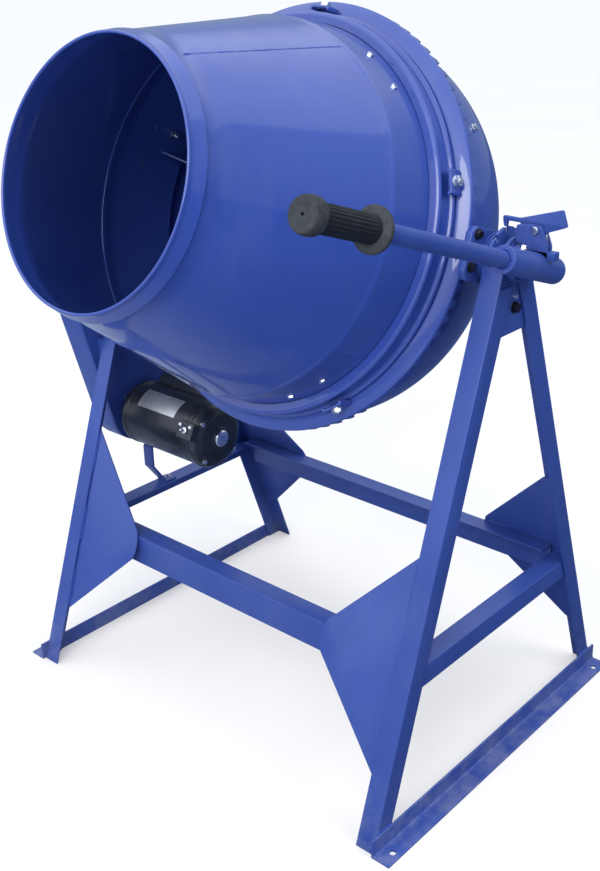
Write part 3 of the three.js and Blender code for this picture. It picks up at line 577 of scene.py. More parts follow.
def rubber(name, low, high, dust_and_sheen, roughness=0.72):
    """Moulded black rubber with a fine grain and a lighter bloom, which is dust, and on the knob's
    lighter copy also painted sheen.
    """
    n = Nodes(name)
    colour = n.mix(n.range(n.noise(26.0, 4.0), 0.35, 0.68), low, high)
    bloom = n.range(n.noise(120.0, 6.0, 0.75), 0.42, 0.68)
    rubbed = n.math("ADD", n.times(n.edges(0.0012), 0.35), bloom)
    colour = n.mix(n.times(rubbed, dust_and_sheen), colour, (0.17, 0.175, 0.165))
    return n.finish(
        Base_Color=colour, Roughness=n.range(n.noise(70.0), 0.3, 0.7, roughness - 0.1, roughness + 0.12),
        Specular_IOR_Level=0.4, Normal=n.bump(n.noise(700.0, 4.0, 0.6), 0.35, 0.0005),
    )


def motor_enamel(name):
    """Semi-gloss black with a faint texture, and a bluish-grey layer along the top that is partly dust
    and partly painted sheen from the sky.
    """
    n = Nodes(name)
    tone = n.range(n.noise(18.0, 4.0), 0.35, 0.68)
    colour = n.mix(tone, (0.008, 0.010, 0.015), (0.020, 0.026, 0.038))
    # Upward faces are lightened towards bluish grey: partly dust, partly painted sky sheen.
    upward = n.range(n.split(n.add("ShaderNodeNewGeometry").outputs["Normal"])[2], 0.2, 1.0)
    dust_and_sheen = n.times(upward, n.range(n.noise(55.0, 6.0, 0.7), 0.4, 0.7), 0.16)
    colour = n.mix(dust_and_sheen, colour, (0.10, 0.12, 0.15))
    worn = n.times(n.edges(0.001), n.range(n.noise(60.0), 0.45, 0.6), 0.5)
    colour = n.mix(worn, colour, (0.16, 0.165, 0.17))
    return n.finish(
        Base_Color=colour, Roughness=n.range(n.noise(40.0), 0.3, 0.7, 0.26, 0.42), Coat_Weight=0.25,
        Coat_Roughness=0.2, Normal=n.bump(n.noise(520.0, 3.0), 0.22, 0.0004),
    )


def woven_belt(name):
    """V-belt rubber with the weave of its wrapping fabric."""
    n = Nodes(name)
    wave = n.add(
        "ShaderNodeTexWave", wave_type="BANDS", bands_direction="DIAGONAL", Scale=420.0, Distortion=1.5,
        Vector=n.place,
    ).outputs["Fac"]
    colour = n.mix(wave, (0.010, 0.010, 0.011), (0.035, 0.034, 0.033))
    colour = n.mix(n.range(n.noise(90.0, 4.0), 0.5, 0.75, 0.0, 0.3), colour, (0.12, 0.115, 0.105))
    return n.finish(Base_Color=colour, Roughness=0.78, Normal=n.bump(wave, 0.4, 0.0005))


def brushed_label(name):
    """A blank aluminium nameplate: fine brushing along its length and faint handling marks."""
    n = Nodes(name)
    lines = n.noise(1400.0, 2.0, 0.5, n.stretched(0.02, 1.0, 1.0))
    smudge = n.range(n.noise(30.0, 4.0), 0.4, 0.7)
    colour = n.mix(smudge, (0.70, 0.71, 0.72), (0.55, 0.56, 0.58))
    return n.finish(
        Base_Color=colour, Metallic=0.85, Roughness=n.range(lines, 0.3, 0.7, 0.28, 0.46),
        Normal=n.bump(lines, 0.15, 0.0002),
    )


PAINT = enamel("stand_enamel", (0.027, 0.062, 0.28), (0.035, 0.075, 0.32), 0.38, floor_dust=0.4)
DRUM_PAINT = enamel("drum_enamel", (0.025, 0.061, 0.31), (0.030, 0.069, 0.34), 0.36,
                    coat=1.0, gloss=0.06, wear=0.0)
BEAD = enamel("weld_enamel", (0.019, 0.051, 0.30), (0.026, 0.064, 0.35), 0.40, wear=0.0)
ZINC = plated("zinc_plate", (0.66, 0.68, 0.72), (0.86, 0.88, 0.92), 0.24)
STEEL_BARE = plated("ground_steel", (0.52, 0.53, 0.55), (0.70, 0.71, 0.73), 0.30)
OXIDE = plated("black_oxide", (0.03, 0.03, 0.035), (0.06, 0.06, 0.07), 0.30, 0.9, (0.10, 0.06, 0.04))
CAST = cast("sand_casting", (0.07, 0.075, 0.08), (0.14, 0.145, 0.155), 0.48)
BRONZE = plated("bearing_bronze", (0.50, 0.32, 0.13), (0.66, 0.45, 0.20), 0.34, 1.0, (0.16, 0.10, 0.05))
GRIP = rubber("grip_rubber", (0.006, 0.008, 0.010), (0.011, 0.013, 0.016), 0.03, 0.62)
# The flange and knob get a lighter copy of the grip rubber: its lighter tone is painted sheen, and its
# stronger bloom is partly dust and partly painted sheen.
GRIP_END_DUST_AND_SHEEN = rubber("grip_rubber_dust_and_sheen", (0.018, 0.022, 0.026), (0.032, 0.037, 0.042), 0.16)
MOTOR_BLACK = motor_enamel("motor_enamel")
BELT = woven_belt("belt_rubber")
LABEL = brushed_label("blank_nameplate")

# ---------------------------------------------------------------- stand


def make_legs():
    """Angle iron with a rounded root and toes, leaning in towards the apex."""
    inner, over = HALF_WIDTH - FLANGE, STEEL * LEAN
    section = angle_iron(HALF_WIDTH, 0, -FLANGE, FLANGE * LEAN, 2.2, LEAN)
    for corner, mirror in CORNERS:
        bm = plate(section, LEG_FRONT_TOP - 1, bevel=0.6)
        place = STAND @ mirror @ shift(0, leg_y(1), 1) @ SHEAR
        leg = add(f"leg_{corner}_angle", "stand", bm, PAINT, place, f"leg_{corner}")
        above = block(inner - 10, HALF_WIDTH + 10, over + 0.3, FLANGE * LEAN + 10, LEG_TOP - 1,
                      LEG_FRONT_TOP + 10, 0.001)
        cut(leg, moved(above, place))


def make_gussets():
    """The triangular plates behind the front and rear faces of the legs, with their welds."""
    x, foot, top = HALF_WIDTH - 4.3, 118, 486
    outline = fillet(
        [(x, foot), (x, top), (412, top), (264, 338), (252, 326), (246, 308), (246, 290), (251, 272),
         (412, foot)],
        [0, 0, 4, 12, 10, 12, 12, 10, 4],
    )
    thick = GUSSET_STEEL * LEAN
    for corner, mirror in CORNERS:
        bm = front_plate(outline, leg_y(0) + STEEL * LEAN + GAP + thick, thick, bevel=0.6)
        add(f"gusset_{corner}_plate", "stand", bm, PAINT, STAND @ mirror @ SHEAR, f"gusset_{corner}")
        for k, run in enumerate(((126, 196), (262, 332), (402, 478))):
            line = [(411.2, leg_y(z) + STEEL * LEAN - 0.4, z) for z in run]
            weld(f"gusset_{corner}_weld_{k + 1}", "stand", line, BEAD, STAND @ mirror)


def make_foot_rails():
    inner, hole_y = HALF_WIDTH + GAP, RAIL_HALF_LENGTH - 30
    section = angle_iron(inner, 0, FLANGE, RAIL_HEIGHT, 2.0)
    hole_x = inner + FLANGE / 2 + 4
    for side, mirror in SIDES:
        bm = front_plate(section, RAIL_HALF_LENGTH, 2 * RAIL_HALF_LENGTH, bevel=0.6)
        rail = add(f"foot_rail_{side}_angle", "stand", bm, PAINT, STAND @ mirror, f"foot_rail_{side}")
        drill(rail, STAND @ mirror, [((hole_x, s * hole_y, 2), (0, 0, 1), 6, 12) for s in (1, -1)])
        for s, end in ENDS:
            x, y, z = inner - 0.2, -s * (leg_y(RAIL_HEIGHT) - 1), RAIL_HEIGHT + 0.5
            run = [(x, y, z), (x, y - s * FLANGE * LEAN * 0.96, z)]
            weld(f"foot_weld_{side}_{end}", "stand", run, BEAD, STAND @ mirror)


def make_side_braces():
    """Angle iron between the legs of a side, with its ends mitred to their lean."""
    outer = HALF_WIDTH - STEEL - GAP
    section = angle_iron(outer, BRACE_TOP, -FLANGE, -FLANGE, 2.0)
    for side, mirror in SIDES:
        bm = front_plate(section, 1, 2, bevel=0.001)
        for v in bm.verts:
            v.co.y *= -(leg_y(v.co.z) + BEHIND_GUSSET)
        add(f"side_brace_{side}_angle", "stand", bm, PAINT, STAND @ mirror, f"side_brace_{side}")
        for s, end in ENDS:
            y, z = s * -(leg_y(BRACE_TOP) + BEHIND_GUSSET), BRACE_TOP - 0.5
            run = [(outer - FLANGE + 3, y, z), (outer - 1, y, z)]
            weld(f"brace_weld_{side}_{end}", "stand", run, BEAD, STAND @ mirror)


def make_cross_rails():
    end = HALF_WIDTH - STEEL - FLANGE - 3 * GAP
    front = leg_y(CROSS_TOP) + BEHIND_GUSSET
    section = angle_iron(front, CROSS_TOP, FLANGE, -CROSS_DEPTH, 2.2)
    for name, mirror in (("front", SAME), ("rear", MIRROR_Y)):
        bm = side_plate(section, -end, 2 * end, bevel=0.6)
        add(f"cross_rail_{name}_angle", "stand", bm, PAINT, STAND @ mirror, f"cross_rail_{name}")
        for side, flip in SIDES:
            run = [(x, front - 0.6, CROSS_TOP + 0.2) for x in (248, 300)]
            weld(f"cross_weld_{name}_{side}", "stand", run, BEAD, STAND @ mirror @ flip)


def make_apexes():
    """The plates that carry the trunnion bearings at the top of each pair of legs."""
    bottom, top = 831, LEG_FRONT_TOP + 2 * GAP
    outer = HALF_WIDTH - STEEL - GAP
    bolt_y, bolt_z, screw_z = 4, 874, 892
    sleeve_start, sleeve_end, collar_r = 420, 461, BEARING_R + 3
    collar_end = outer - APEX_STEEL - GAP

    def half(z):
        return -leg_y(z) - STEEL * LEAN - 2 * GAP

    outline = [(-half(bottom), bottom), (half(bottom), bottom), (half(top), top)]
    outline += arc(0, PIVOT_Z, BEARING_R + 11, 1, 179, 40) + [(-half(top), top)]
    holes = [circle(0, PIVOT_Z, BEARING_R + GAP, 64), circle(bolt_y, bolt_z, 7)]
    profile = fillet(
        [(TRUNNION_R + GAP, sleeve_start), (BEARING_R, sleeve_start), (BEARING_R, collar_end - 6),
         (collar_r, collar_end - 6), (collar_r, collar_end), (BEARING_R, collar_end),
         (BEARING_R, sleeve_end), (TRUNNION_R + GAP, sleeve_end)],
        [1, 1.2, 1.5, 1, 0, 0, 1.2, 1],
    )
    rim = [(445.4, y, z) for y, z in arc(0, PIVOT_Z, BEARING_R + 1.2, 0, 360, 45)]
    for side, mirror in SIDES:
        place = STAND @ mirror
        bm = side_plate(outline, outer - APEX_STEEL, APEX_STEEL, holes, 0.8)
        add(f"apex_{side}_plate", "stand", bm, PAINT, place, f"apex_plate_{side}")
        add(f"bearing_{side}_sleeve", "stand", revolve(profile), PAINT,
            place @ shift(z=PIVOT_Z) @ TURN_TO_X, f"trunnion_bearing_{side}")
        for s, end in ENDS:
            run = [(outer - 1, s * (half(z) - 1), z) for z in (bottom + 4, LEG_TOP - 4)]
            weld(f"apex_weld_{side}_{end}", "stand", run, BEAD, place)
        weld(f"bearing_weld_{side}", "stand", rim, BEAD, place, 1.9)
        out = (1, 0, 0)
        bolt(f"apex_{side}_bolt", "stand", (outer, bolt_y, bolt_z), out, place, 15, 7, 10, OXIDE)
        bolt(f"apex_{side}_screw", "stand", (outer, bolt_y, screw_z), out, place, 7, 3, 4.5)


# ---------------------------------------------------------------- tilt lock


def make_lock_sector():
    """The plate round the right bearing, with a notch for each position of the drum."""
    half_notch, notch_floor, start, end = 4.5, LATCH_R - 9, 5.0, 175.0
    reach = math.degrees(half_notch / LATCH_R)
    outline = []
    edge = start
    for angle in NOTCH_ANGLES:
        outline += arc(0, 0, LATCH_R, edge, 90 + angle - reach, 8)
        a = math.radians(90 + angle)
        for across in (-half_notch, half_notch):
            outline.append((notch_floor * math.cos(a) - across * math.sin(a),
                            notch_floor * math.sin(a) + across * math.cos(a)))
        edge = 90 + angle + reach
    outline += arc(0, 0, LATCH_R, edge, end, 8) + arc(0, 0, BEARING_R + GAP, end, start, 48)
    add("lock_sector", "stand", side_plate(outline, 423, 6, bevel=0.6), PAINT, STAND @ shift(z=PIVOT_Z),
        "lock_quadrant")


def make_latch():
    """The cranked lever, and the ears, rivet and spring that hold it to the yoke."""
    tooth_tip, arm_top = PIVOT_Z + LATCH_R + 1, LATCH_PIN_Z + 14
    lever = fillet(
        [(423.5, tooth_tip), (428.5, tooth_tip), (429.5, arm_top - 7), (452, arm_top - 7),
         (470, LATCH_PIN_Z - 8), (488, LATCH_PIN_Z - 8), (536, LATCH_PIN_Z + 11),
         (527, LATCH_PIN_Z + 37), (452, arm_top), (421, arm_top), (421, arm_top - 7)],
        [1.5, 1.5, 1.5, 4, 6, 8, 3.5, 3.5, 10, 2, 1],
    )
    pin_hole = [circle(LATCH_PIN_X, LATCH_PIN_Z, 4.3)]
    bar = front_plate(lever, LATCH_STEEL / 2, LATCH_STEEL, pin_hole, 0.8)
    add("latch_bar", "latch", bar, PAINT, STAND, "latch_lever")

    low, over_bearing = 964, 986
    ear = fillet(
        [(472, low), (507, low), (507, over_bearing), (495, LATCH_PIN_Z + 7), (474, LATCH_PIN_Z + 9),
         (449, LATCH_PIN_Z + 4), (449, over_bearing), (462.5, over_bearing), (462.5, SADDLE_TOP),
         (472, SADDLE_TOP)],
        [0, 0, 3, 6, 8, 4, 3, 2, 1, 0],
    )
    ears = [front_plate(ear, y, 4, pin_hole, 0.6) for y in (-3.3, 7.3)]
    saddle = block(472, 520, -7.3, 7.3, low, SADDLE_TOP, 1.2)
    add("latch_ears", YOKE, joined(*ears, saddle), PAINT, STAND, "latch_bracket")
    pin_r, head_r, head_z = 4, 6.5, 7.9
    pin = fillet(
        [(0, -13), (pin_r, -13), (pin_r, head_z), (head_r, head_z), (head_r, 12), (0, 12)],
        [0, 0.8, 0, 0.5, 1.4, 0], 3,
    )
    at_pin = STAND @ shift(LATCH_PIN_X, 0, LATCH_PIN_Z) @ TURN_TO_FRONT
    add("latch_rivet", YOKE, revolve(pin, 40), ZINC, at_pin, "latch_pin")
    make_latch_spring()


def make_latch_spring():
    """A coil that stands on the bracket."""
    turns, steps, coil_r, height = 7, 240, 1.9, 24
    flat_end, rising = 0.06, 0.88
    coil = []
    for i in range(steps + 1):
        u = i / steps
        x, y, z = polar(coil_r, 360 * turns * u, SADDLE_TOP + 1.2)
        coil.append((LATCH_PIN_X + 16 + x, y, z + height * min(max(0, u - flat_end) / rising, 1)))
    spring = add("latch_coil", None, tube(coil, 0.85, 10), ZINC, STAND, "latch_spring", sharp=60)
    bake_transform(spring)


# ---------------------------------------------------------------- yoke and handle


def make_yoke():
    """The bar that hugs the bowl, and the wide cheeks at its ends."""
    arm, w = YOKE_ARM - 5, YOKE_END_WIDTH / 2
    outer = super_arc(YOKE_OUTER_X, YOKE_DEPTH + YOKE_THICK, 0, 180, 120)
    inner = super_arc(YOKE_INNER_X, YOKE_DEPTH, 180, 0, 120)
    outline = [(YOKE_OUTER_X, arm), *outer, (-YOKE_OUTER_X, arm), (-YOKE_INNER_X, arm), *inner]
    outline.append((YOKE_INNER_X, arm))
    bar = front_plate(outline, YOKE_WIDTH / 2, YOKE_WIDTH, bevel=1.6)
    yoke = add("yoke_bar", YOKE, bar, PAINT, TILT, "yoke")
    drill(yoke, TILT, [((-400, 0, 0), (1, 0, 0), SHAFT_HOLE_R, 60), ((0, 0, -276), (0, 0, 1), 30.3, 60)])
    neck = YOKE_WIDTH / 2 + 1
    end = fillet(
        [(-w, -32), (-w, YOKE_ARM - 12), (12 - w, YOKE_ARM), (w - 12, YOKE_ARM), (w, YOKE_ARM - 12),
         (w, -32), (neck, -58), (-neck, -58)],
        [10, 8, 8, 8, 8, 10, 4, 4],
    )
    for side, mirror in SIDES:
        holes = [circle(0, 0, SHAFT_HOLE_R, 48)] if side == "left" else []
        cheek = side_plate(end, YOKE_INNER_X - 0.3, YOKE_THICK + 0.6, holes, 1.4)
        add(f"yoke_cheek_{side}", YOKE, cheek, PAINT, TILT @ mirror)
        at = [(YOKE_OUTER_X + 0.3, y, t) for y, t in ((32, 60), (-21, 61))]
        bolts(f"yoke_bolt_{side}", YOKE, at, (1, 0, 0), TILT @ mirror, 13, 6, 9, OXIDE)


def make_spindle_sleeve():
    bore, sleeve_r, flange_r, pad_r = 17.8, 30, 46, 55
    back, front = YOKE_BACK, YOKE_BACK + 12
    pad_bore = sleeve_r + GAP
    pad = [(pad_bore, back), (pad_r, back), (pad_r, front), (pad_bore, front)]
    add("yoke_pad", YOKE, revolve(fillet(pad, [0, 1.5, 1.5, 0], 3)), PAINT, TILT)
    flange = back - GAP
    sleeve = fillet(
        [(bore, flange - 28), (sleeve_r, flange - 28), (sleeve_r, flange - 8), (flange_r, flange - 8),
         (flange_r, flange), (sleeve_r, flange), (sleeve_r, front), (bore, front)],
        [1, 2, 3, 1.5, 0.8, 0, 1, 1],
    )
    add("spindle_sleeve", YOKE, revolve(sleeve), PAINT, TILT, "spindle_bearing")
    at = [(x, y, flange - 8) for x, y in arc(0, 0, 38, 45, 315, 3)]
    bolts("spindle_bolt", YOKE, at, (0, 0, -1), TILT, 10, 5, 7)


def make_trunnions():
    """The stubs the yoke tilts on: the right one is solid, and the drive shaft runs in the left."""
    start, flange_r = YOKE_OUTER_X + GAP, TRUNNION_FLANGE_R
    step, weld_r = start + 7, flange_r + 0.6
    ring = [(start + 0.5, y, z) for y, z in arc(0, 0, weld_r, 0, 360, 45)]
    for (side, mirror), bore, end in zip(SIDES, (0, 17), (467.7, 462)):
        stub = fillet(
            [(bore, start), (flange_r, start), (flange_r, step), (TRUNNION_R, step), (TRUNNION_R, end),
             (bore, end)],
            [0, 1, 1.5, 2.5, 1, 0], 3,
        )
        add(f"trunnion_{side}_stub", YOKE, revolve(stub), PAINT, TILT @ mirror @ TURN_TO_X,
            f"trunnion_{side}")
        weld(f"trunnion_weld_{side}", YOKE, ring, BEAD, TILT @ mirror, 2.4)
        at = [(step, y, t) for y, t in ((28, 13), (-28, -13), (-13, 28), (13, -28))]
        bolts(f"trunnion_bolt_{side}", YOKE, at, (1, 0, 0), TILT @ mirror, 8, 4, 6)
    bore, outside, near, far = SHAFT_HOLE_R, 16.7, 405, 461
    bush = fillet([(bore, near), (outside, near), (outside, far), (bore, far)], 0.5, 3)
    add("shaft_bush", YOKE, revolve(bush, 64), BRONZE, TILT @ MIRROR_X @ TURN_TO_X,
        "pinion_bush")


def make_handle():
    at_handle = TILT @ shift(HANDLE_X)
    bottom, floor, mouth = -50, -42, 114
    bore = HANDLE_R + GAP
    socket = fillet(
        [(0, bottom), (SOCKET_R, bottom), (SOCKET_R, mouth), (bore, mouth), (bore, floor), (0, floor)],
        [0, 5, 1.6, 1, 0, 0],
    )
    add("handle_sleeve", YOKE, revolve(socket), PAINT, at_handle, "handle_socket")
    low, high = floor + GAP, GRIP_END - 14
    bar = fillet([(0, low), (HANDLE_R, low), (HANDLE_R, high), (0, high)], [0, 1, 1, 0], 3)
    add("handle_tube", YOKE, revolve(bar), PAINT, at_handle, "handle_bar")
    joint_ring = [(x, y, mouth + 0.2) for x, y in arc(0, 0, 15.6, 0, 360, 45)]
    weld("socket_weld", YOKE, joint_ring, BEAD, at_handle, 1.5)
    saddle_ring = [(467.0, y, z) for y, z in arc(0, 0, 23.0, 0, 360, 45)]
    weld("handle_weld", YOKE, saddle_ring, BEAD, TILT, 2.8)
    bolt("socket_bolt", YOKE, (0, SOCKET_R - 0.5, 60), (0, 1, 0), at_handle, 10, 5, 7)


def make_grip():
    """The ribbed rubber grip, with a flange before it and a knob at its end."""
    at_handle = TILT @ shift(HANDLE_X)
    bore, body_r, ribs, rib_depth = HANDLE_R + GAP, 20, 22, 0.9
    start, end = GRIP_START + 13, GRIP_END - 24

    def ribbed(r, h, a):
        inside = min(1, max(0, (h - start - 4) / 6)) * min(1, max(0, (end - 4 - h) / 6))
        outer = r > HANDLE_R + 2
        return (r - rib_depth * inside * outer * (0.5 - 0.5 * math.cos(ribs * a)) ** 2, h)

    steps = 14
    wall = [(body_r, start + (end - start) * i / steps) for i in range(steps + 1)]
    body = [(bore, start - 2), (body_r, start - 2), *wall, (bore, end)]
    add("grip_body", YOKE, revolve(body, 12 * ribs, ribbed), GRIP, at_handle, "handle_grip")
    flange_r = 32.5
    flange = fillet(
        [(bore, GRIP_START), (body_r, GRIP_START), (flange_r, GRIP_START + 3),
         (flange_r, GRIP_START + 9.5), (body_r + 2, start), (bore, start)],
        [0.5, 1, 3, 3, 3, 0],
    )
    add("grip_flange", YOKE, revolve(flange), GRIP_END_DUST_AND_SHEEN, at_handle)
    vent_r, vent_floor = 2.5, GRIP_END - 13.6
    knob = fillet(
        [(bore, end - 1), (20.5, end - 1), (25, end + 3), (25.5, GRIP_END - 9), (23.5, GRIP_END),
         (vent_r, GRIP_END), (vent_r, vent_floor), (bore, vent_floor)],
        [0, 1, 2, 3, 3.5, 0.8, 0, 0],
    )
    add("grip_knob", YOKE, revolve(knob), GRIP_END_DUST_AND_SHEEN, at_handle)


# ---------------------------------------------------------------- drum


def dented(amount):
    """Slow waves in rolled sheet, so that reflections wander as they do on a real drum."""

    def warp(r, h, a):
        at = Vector((math.cos(a) * 1.3, math.sin(a) * 1.3, h * 0.004))
        return r + amount * noise.noise(at + Vector((3.1, 1.7, 0.4))), h

    return warp


def wall_r(t):
    """The outer radius of the front shell's short cylinder or cone at height t."""
    if t > SHOULDER_T:
        return SHOULDER_R - CONE_SLOPE * (t - SHOULDER_T)
    return SHOULDER_R + (JOINT_R - SHOULDER_R) * (SHOULDER_T - t) / (SHOULDER_T - JOINT_T)


def make_shell():
    band_t, band_r = MOUTH_T - MOUTH_BAND, MOUTH_R + CONE_SLOPE * MOUTH_BAND
    joint_t, steps = JOINT_T + GAP, 10
    heights = [SHOULDER_T + 7 + (band_t - SHOULDER_T - 9) * i / steps for i in range(1, steps)]
    outside = [
        (JOINT_R + 19, joint_t), (JOINT_R + 19, joint_t + SHEET), (JOINT_R + 1, joint_t + SHEET),
        (JOINT_R, joint_t + 6), (JOINT_R - 1, 60), (JOINT_R - 2.4, 78), (JOINT_R - 3.6, 90),
        (JOINT_R - 4.2, 101), (JOINT_R - 6, 120), (SHOULDER_R + 3.2, SHOULDER_T - 18),
        (SHOULDER_R + 1.9, SHOULDER_T - 6), (SHOULDER_R + 1.0, SHOULDER_T - 1.2),
        (SHOULDER_R - 0.6, SHOULDER_T + 1.0), (SHOULDER_R - 3.0, SHOULDER_T + 7),
        *[(wall_r(t) - 0.4, t) for t in heights],
        (band_r - 0.2, band_t - 2.5), (band_r + 0.3, band_t - 0.6), (band_r + 2.3, band_t + 1.6),
        (band_r + 1.6, band_t + 5), (MOUTH_R + 3.9, MOUTH_T - 12), (MOUTH_R + 3.2, MOUTH_T - 7),
    ]
    lip = arc(MOUTH_R + 0.6, MOUTH_T - LIP_R, LIP_R, -20, 200, 10)
    inside = [
        (MOUTH_R - 1.5, MOUTH_T - 10), (band_r - SHEET + 0.6, band_t + 1),
        (band_r - SHEET - 0.2, band_t - 3),
        *[(wall_r(t) - SHEET - 0.4, t) for t in reversed(heights)],
        (SHOULDER_R - SHEET - 1.2, SHOULDER_T + 3), (SHOULDER_R - SHEET + 0.4, SHOULDER_T - 3),
        (JOINT_R - SHEET - 5, 110), (JOINT_R - SHEET, joint_t + 4), (JOINT_R - SHEET, joint_t),
    ]
    bm = revolve(outside + lip + inside, 240, dented(0.3))
    add("drum_cone", "drum", bm, DRUM_PAINT, TILT, "drum_front_shell", sharp=50)

    lap_t = 206
    lap_r = wall_r(lap_t) - SHEET - 0.2
    lap = [(lap_r - 4.0, lap_t + 15), (lap_r - 7.2, lap_t + 15)]
    lap += [(lap_r - 3.0, lap_t + 2), (lap_r + 0.8, lap_t + 2)]
    add("cone_lap", "drum", revolve(fillet(lap, [0, 0.8, 1.2, 0]), 240), DRUM_PAINT, TILT, sharp=50)
    seam = [polar(wall_r(t) - 1.5, 60, t) for t in range(SHOULDER_T + 4, band_t - 4, 20)]
    weld("cone_seam", "drum", seam, BEAD, TILT, 2.0)
    seam = [polar(wall_r(t) - 2.2, 240, t) for t in range(104, SHOULDER_T - 2, 12)]
    weld("wall_seam", "drum", seam, BEAD, TILT, 2.0)


def make_bowl():
    outside = super_arc(BOWL_R, BOWL_DEPTH, 90, 0, 40)
    inside = super_arc(BOWL_R - SHEET, BOWL_DEPTH - SHEET, 0, 90, 40)
    outside[0] = (0, outside[0][1])
    inside[-1] = (0, inside[-1][1])
    rim = [(BOWL_R, JOINT_T - 2), (BOWL_R - 1, JOINT_T), (JOINT_R - 1, JOINT_T)]
    rim += [(JOINT_R - 1, JOINT_T - SHEET), (BOWL_R - SHEET, JOINT_T - SHEET)]
    bm = revolve(outside + rim + inside, 240, dented(0.3))
    add("drum_bowl", "drum", bm, DRUM_PAINT, TILT, "drum_rear_bowl", sharp=50)


def make_ring_gear():
    """A crown gear: every angular station of the ring takes its height from the tooth outline."""
    bore, back = JOINT_R + 1, JOINT_T + SHEET + 2 * GAP
    outer, front = RING_OUTER_R, RING_ROOT_T
    mid_r, inner_tooth = outer - 10, outer - 20
    tip, root, ease = 4.0 / mid_r, 9.0 / mid_r, 0.0012
    half_tooth = ((root, 0), (root - ease, 0.12), (tip + ease, 0.9), (tip, 1))
    tooth = [(-a, height) for a, height in half_tooth] + list(reversed(half_tooth))
    rings = []
    for k in range(RING_TEETH):
        for offset, height in tooth:
            a = 2 * math.pi * k / RING_TEETH + offset
            h = front - 0.05 - (front - RING_TIP_T) * height
            profile = [
                (bore, back), (bore + 8, back), (bore + 8, front), (inner_tooth - 0.6, front),
                (inner_tooth, min(front, h + 0.6)), (inner_tooth + 0.8, h), (outer - 1.2, h),
                (outer - 0.4, min(front, h + 0.8)), (outer, front + 1), (outer, front + 6),
                (outer - 1, front + 7.4), (359, RING_FRONT_T - 0.6), (357, RING_FRONT_T),
                (bore, RING_FRONT_T),
            ]
            rings.append([(r * math.cos(a), r * math.sin(a), t) for r, t in profile])
    add("ring_teeth", "drum", skin(rings, closed=True), DRUM_PAINT, TILT, "ring_gear", sharp=40)


def make_hoop():
    """A rolled band with a narrow raised bead along each edge."""
    back, front, face_r = RING_FRONT_T + GAP, HOOP_FRONT_T, 349.5

    def bead(centre, base, height, half=5.2):
        return [(base + height * math.cos(a) ** 1.4, centre + half * math.sin(a))
                for a in (math.radians(-90 + 15 * k) for k in range(13))]

    profile = [(JOINT_R, back), (face_r, back)]
    profile += bead(back + 6.5, face_r, 8.5) + bead(front - 6, 347.2, 5.8)
    profile += [(346.5, front), (334.6, front), (334.6, front - 3), (JOINT_R, front - 6)]
    add("hoop_band", "drum", revolve(profile, 240), DRUM_PAINT, TILT, "drum_hoop", sharp=42)


def make_lugs():
    """Clamp plates across the hoop, each with turned-down ends and a bolt through it."""
    low, top, half = 358.5, 366.5, 21
    back, length = RING_FRONT_T + GAP, 30 - GAP
    outline = fillet(
        [(low, -half), (top, -half), (top, half), (low, half), (low, 17), (low + 3.5, 15),
         (low + 3.5, -15), (low, -17)],
        [0.5, 3, 3, 0.5, 0.5, 1.5, 1.5, 0.5],
    )
    for i in range(LUG_COUNT):
        place = TILT @ turn(FIRST_LUG_ANGLE + 360 * i / LUG_COUNT, "Z")
        body = moved(plate(outline, length, bevel=0.9), shift(z=back))
        add(f"lug_{i + 1}_plate", "drum", body, DRUM_PAINT, place, f"hoop_lug_{i + 1}")
        bolt(f"lug_{i + 1}_bolt", "drum", (top, 0, back + length / 2 - 0.5), (1, 0, 0), place,
             17, 6.2, 11, stub=1.5)


def make_paddles():
    """Bent blades inside the drum, with the bolts that hold them through the wall."""
    wall = 7
    tip_high, tip_low = (258, 74), (268, -96)
    outline = fillet(
        [(SHOULDER_R - wall, 108), tip_high, tip_low, (BOWL_R - 34, -104), (BOWL_R - wall - 5, -40),
         (BOWL_R - wall - 3, 0), (JOINT_R - wall - 3, 10), (JOINT_R - wall - 2, 30)],
        [10, 4, 4, 14, 8, 4, 4, 4],
    )
    lip = fillet([tip_high, tip_low, (262, -97), (252, 73)], 1.2)
    bowl_r, bowl_t = super_arc(BOWL_R, BOWL_DEPTH, 4.5, 4.5, 1)[0]
    for i, angle in enumerate(PADDLE_ANGLES):
        place = TILT @ turn(angle, "Z")
        blade = joined(front_plate(outline, 2, 4, bevel=0.9), front_plate(lip, 26, 28, bevel=1.2))
        add(f"paddle_{i + 1}_blade", "drum", blade, PAINT, place, f"paddle_{i + 1}")
        for k, (t, lean) in enumerate(((128, -6.5), (130, 6.5))):
            x, y, z = polar(wall_r(t) - 0.4, angle + lean, t)
            bolt(f"paddle_{i + 1}_bolt_{k + 1}", "drum", (x, y, z), (x, y, 0), TILT, 11, 4.5, 8)
        x, y, z = polar(bowl_r, angle - 16.5, bowl_t)
        out = polar(1, angle - 16.5, -0.1)
        bolt(f"paddle_{i + 1}_bolt_3", "drum", (x, y, z), out, TILT, 11, 4.5, 8)
        x, y, z = polar(wall_r(72) - SHEET - 1.0, angle - 6, 72)
        bolt(f"paddle_{i + 1}_nut", "drum", (x, y, z), (-x, -y, 0), TILT, 13, 7, 9, stub=4)


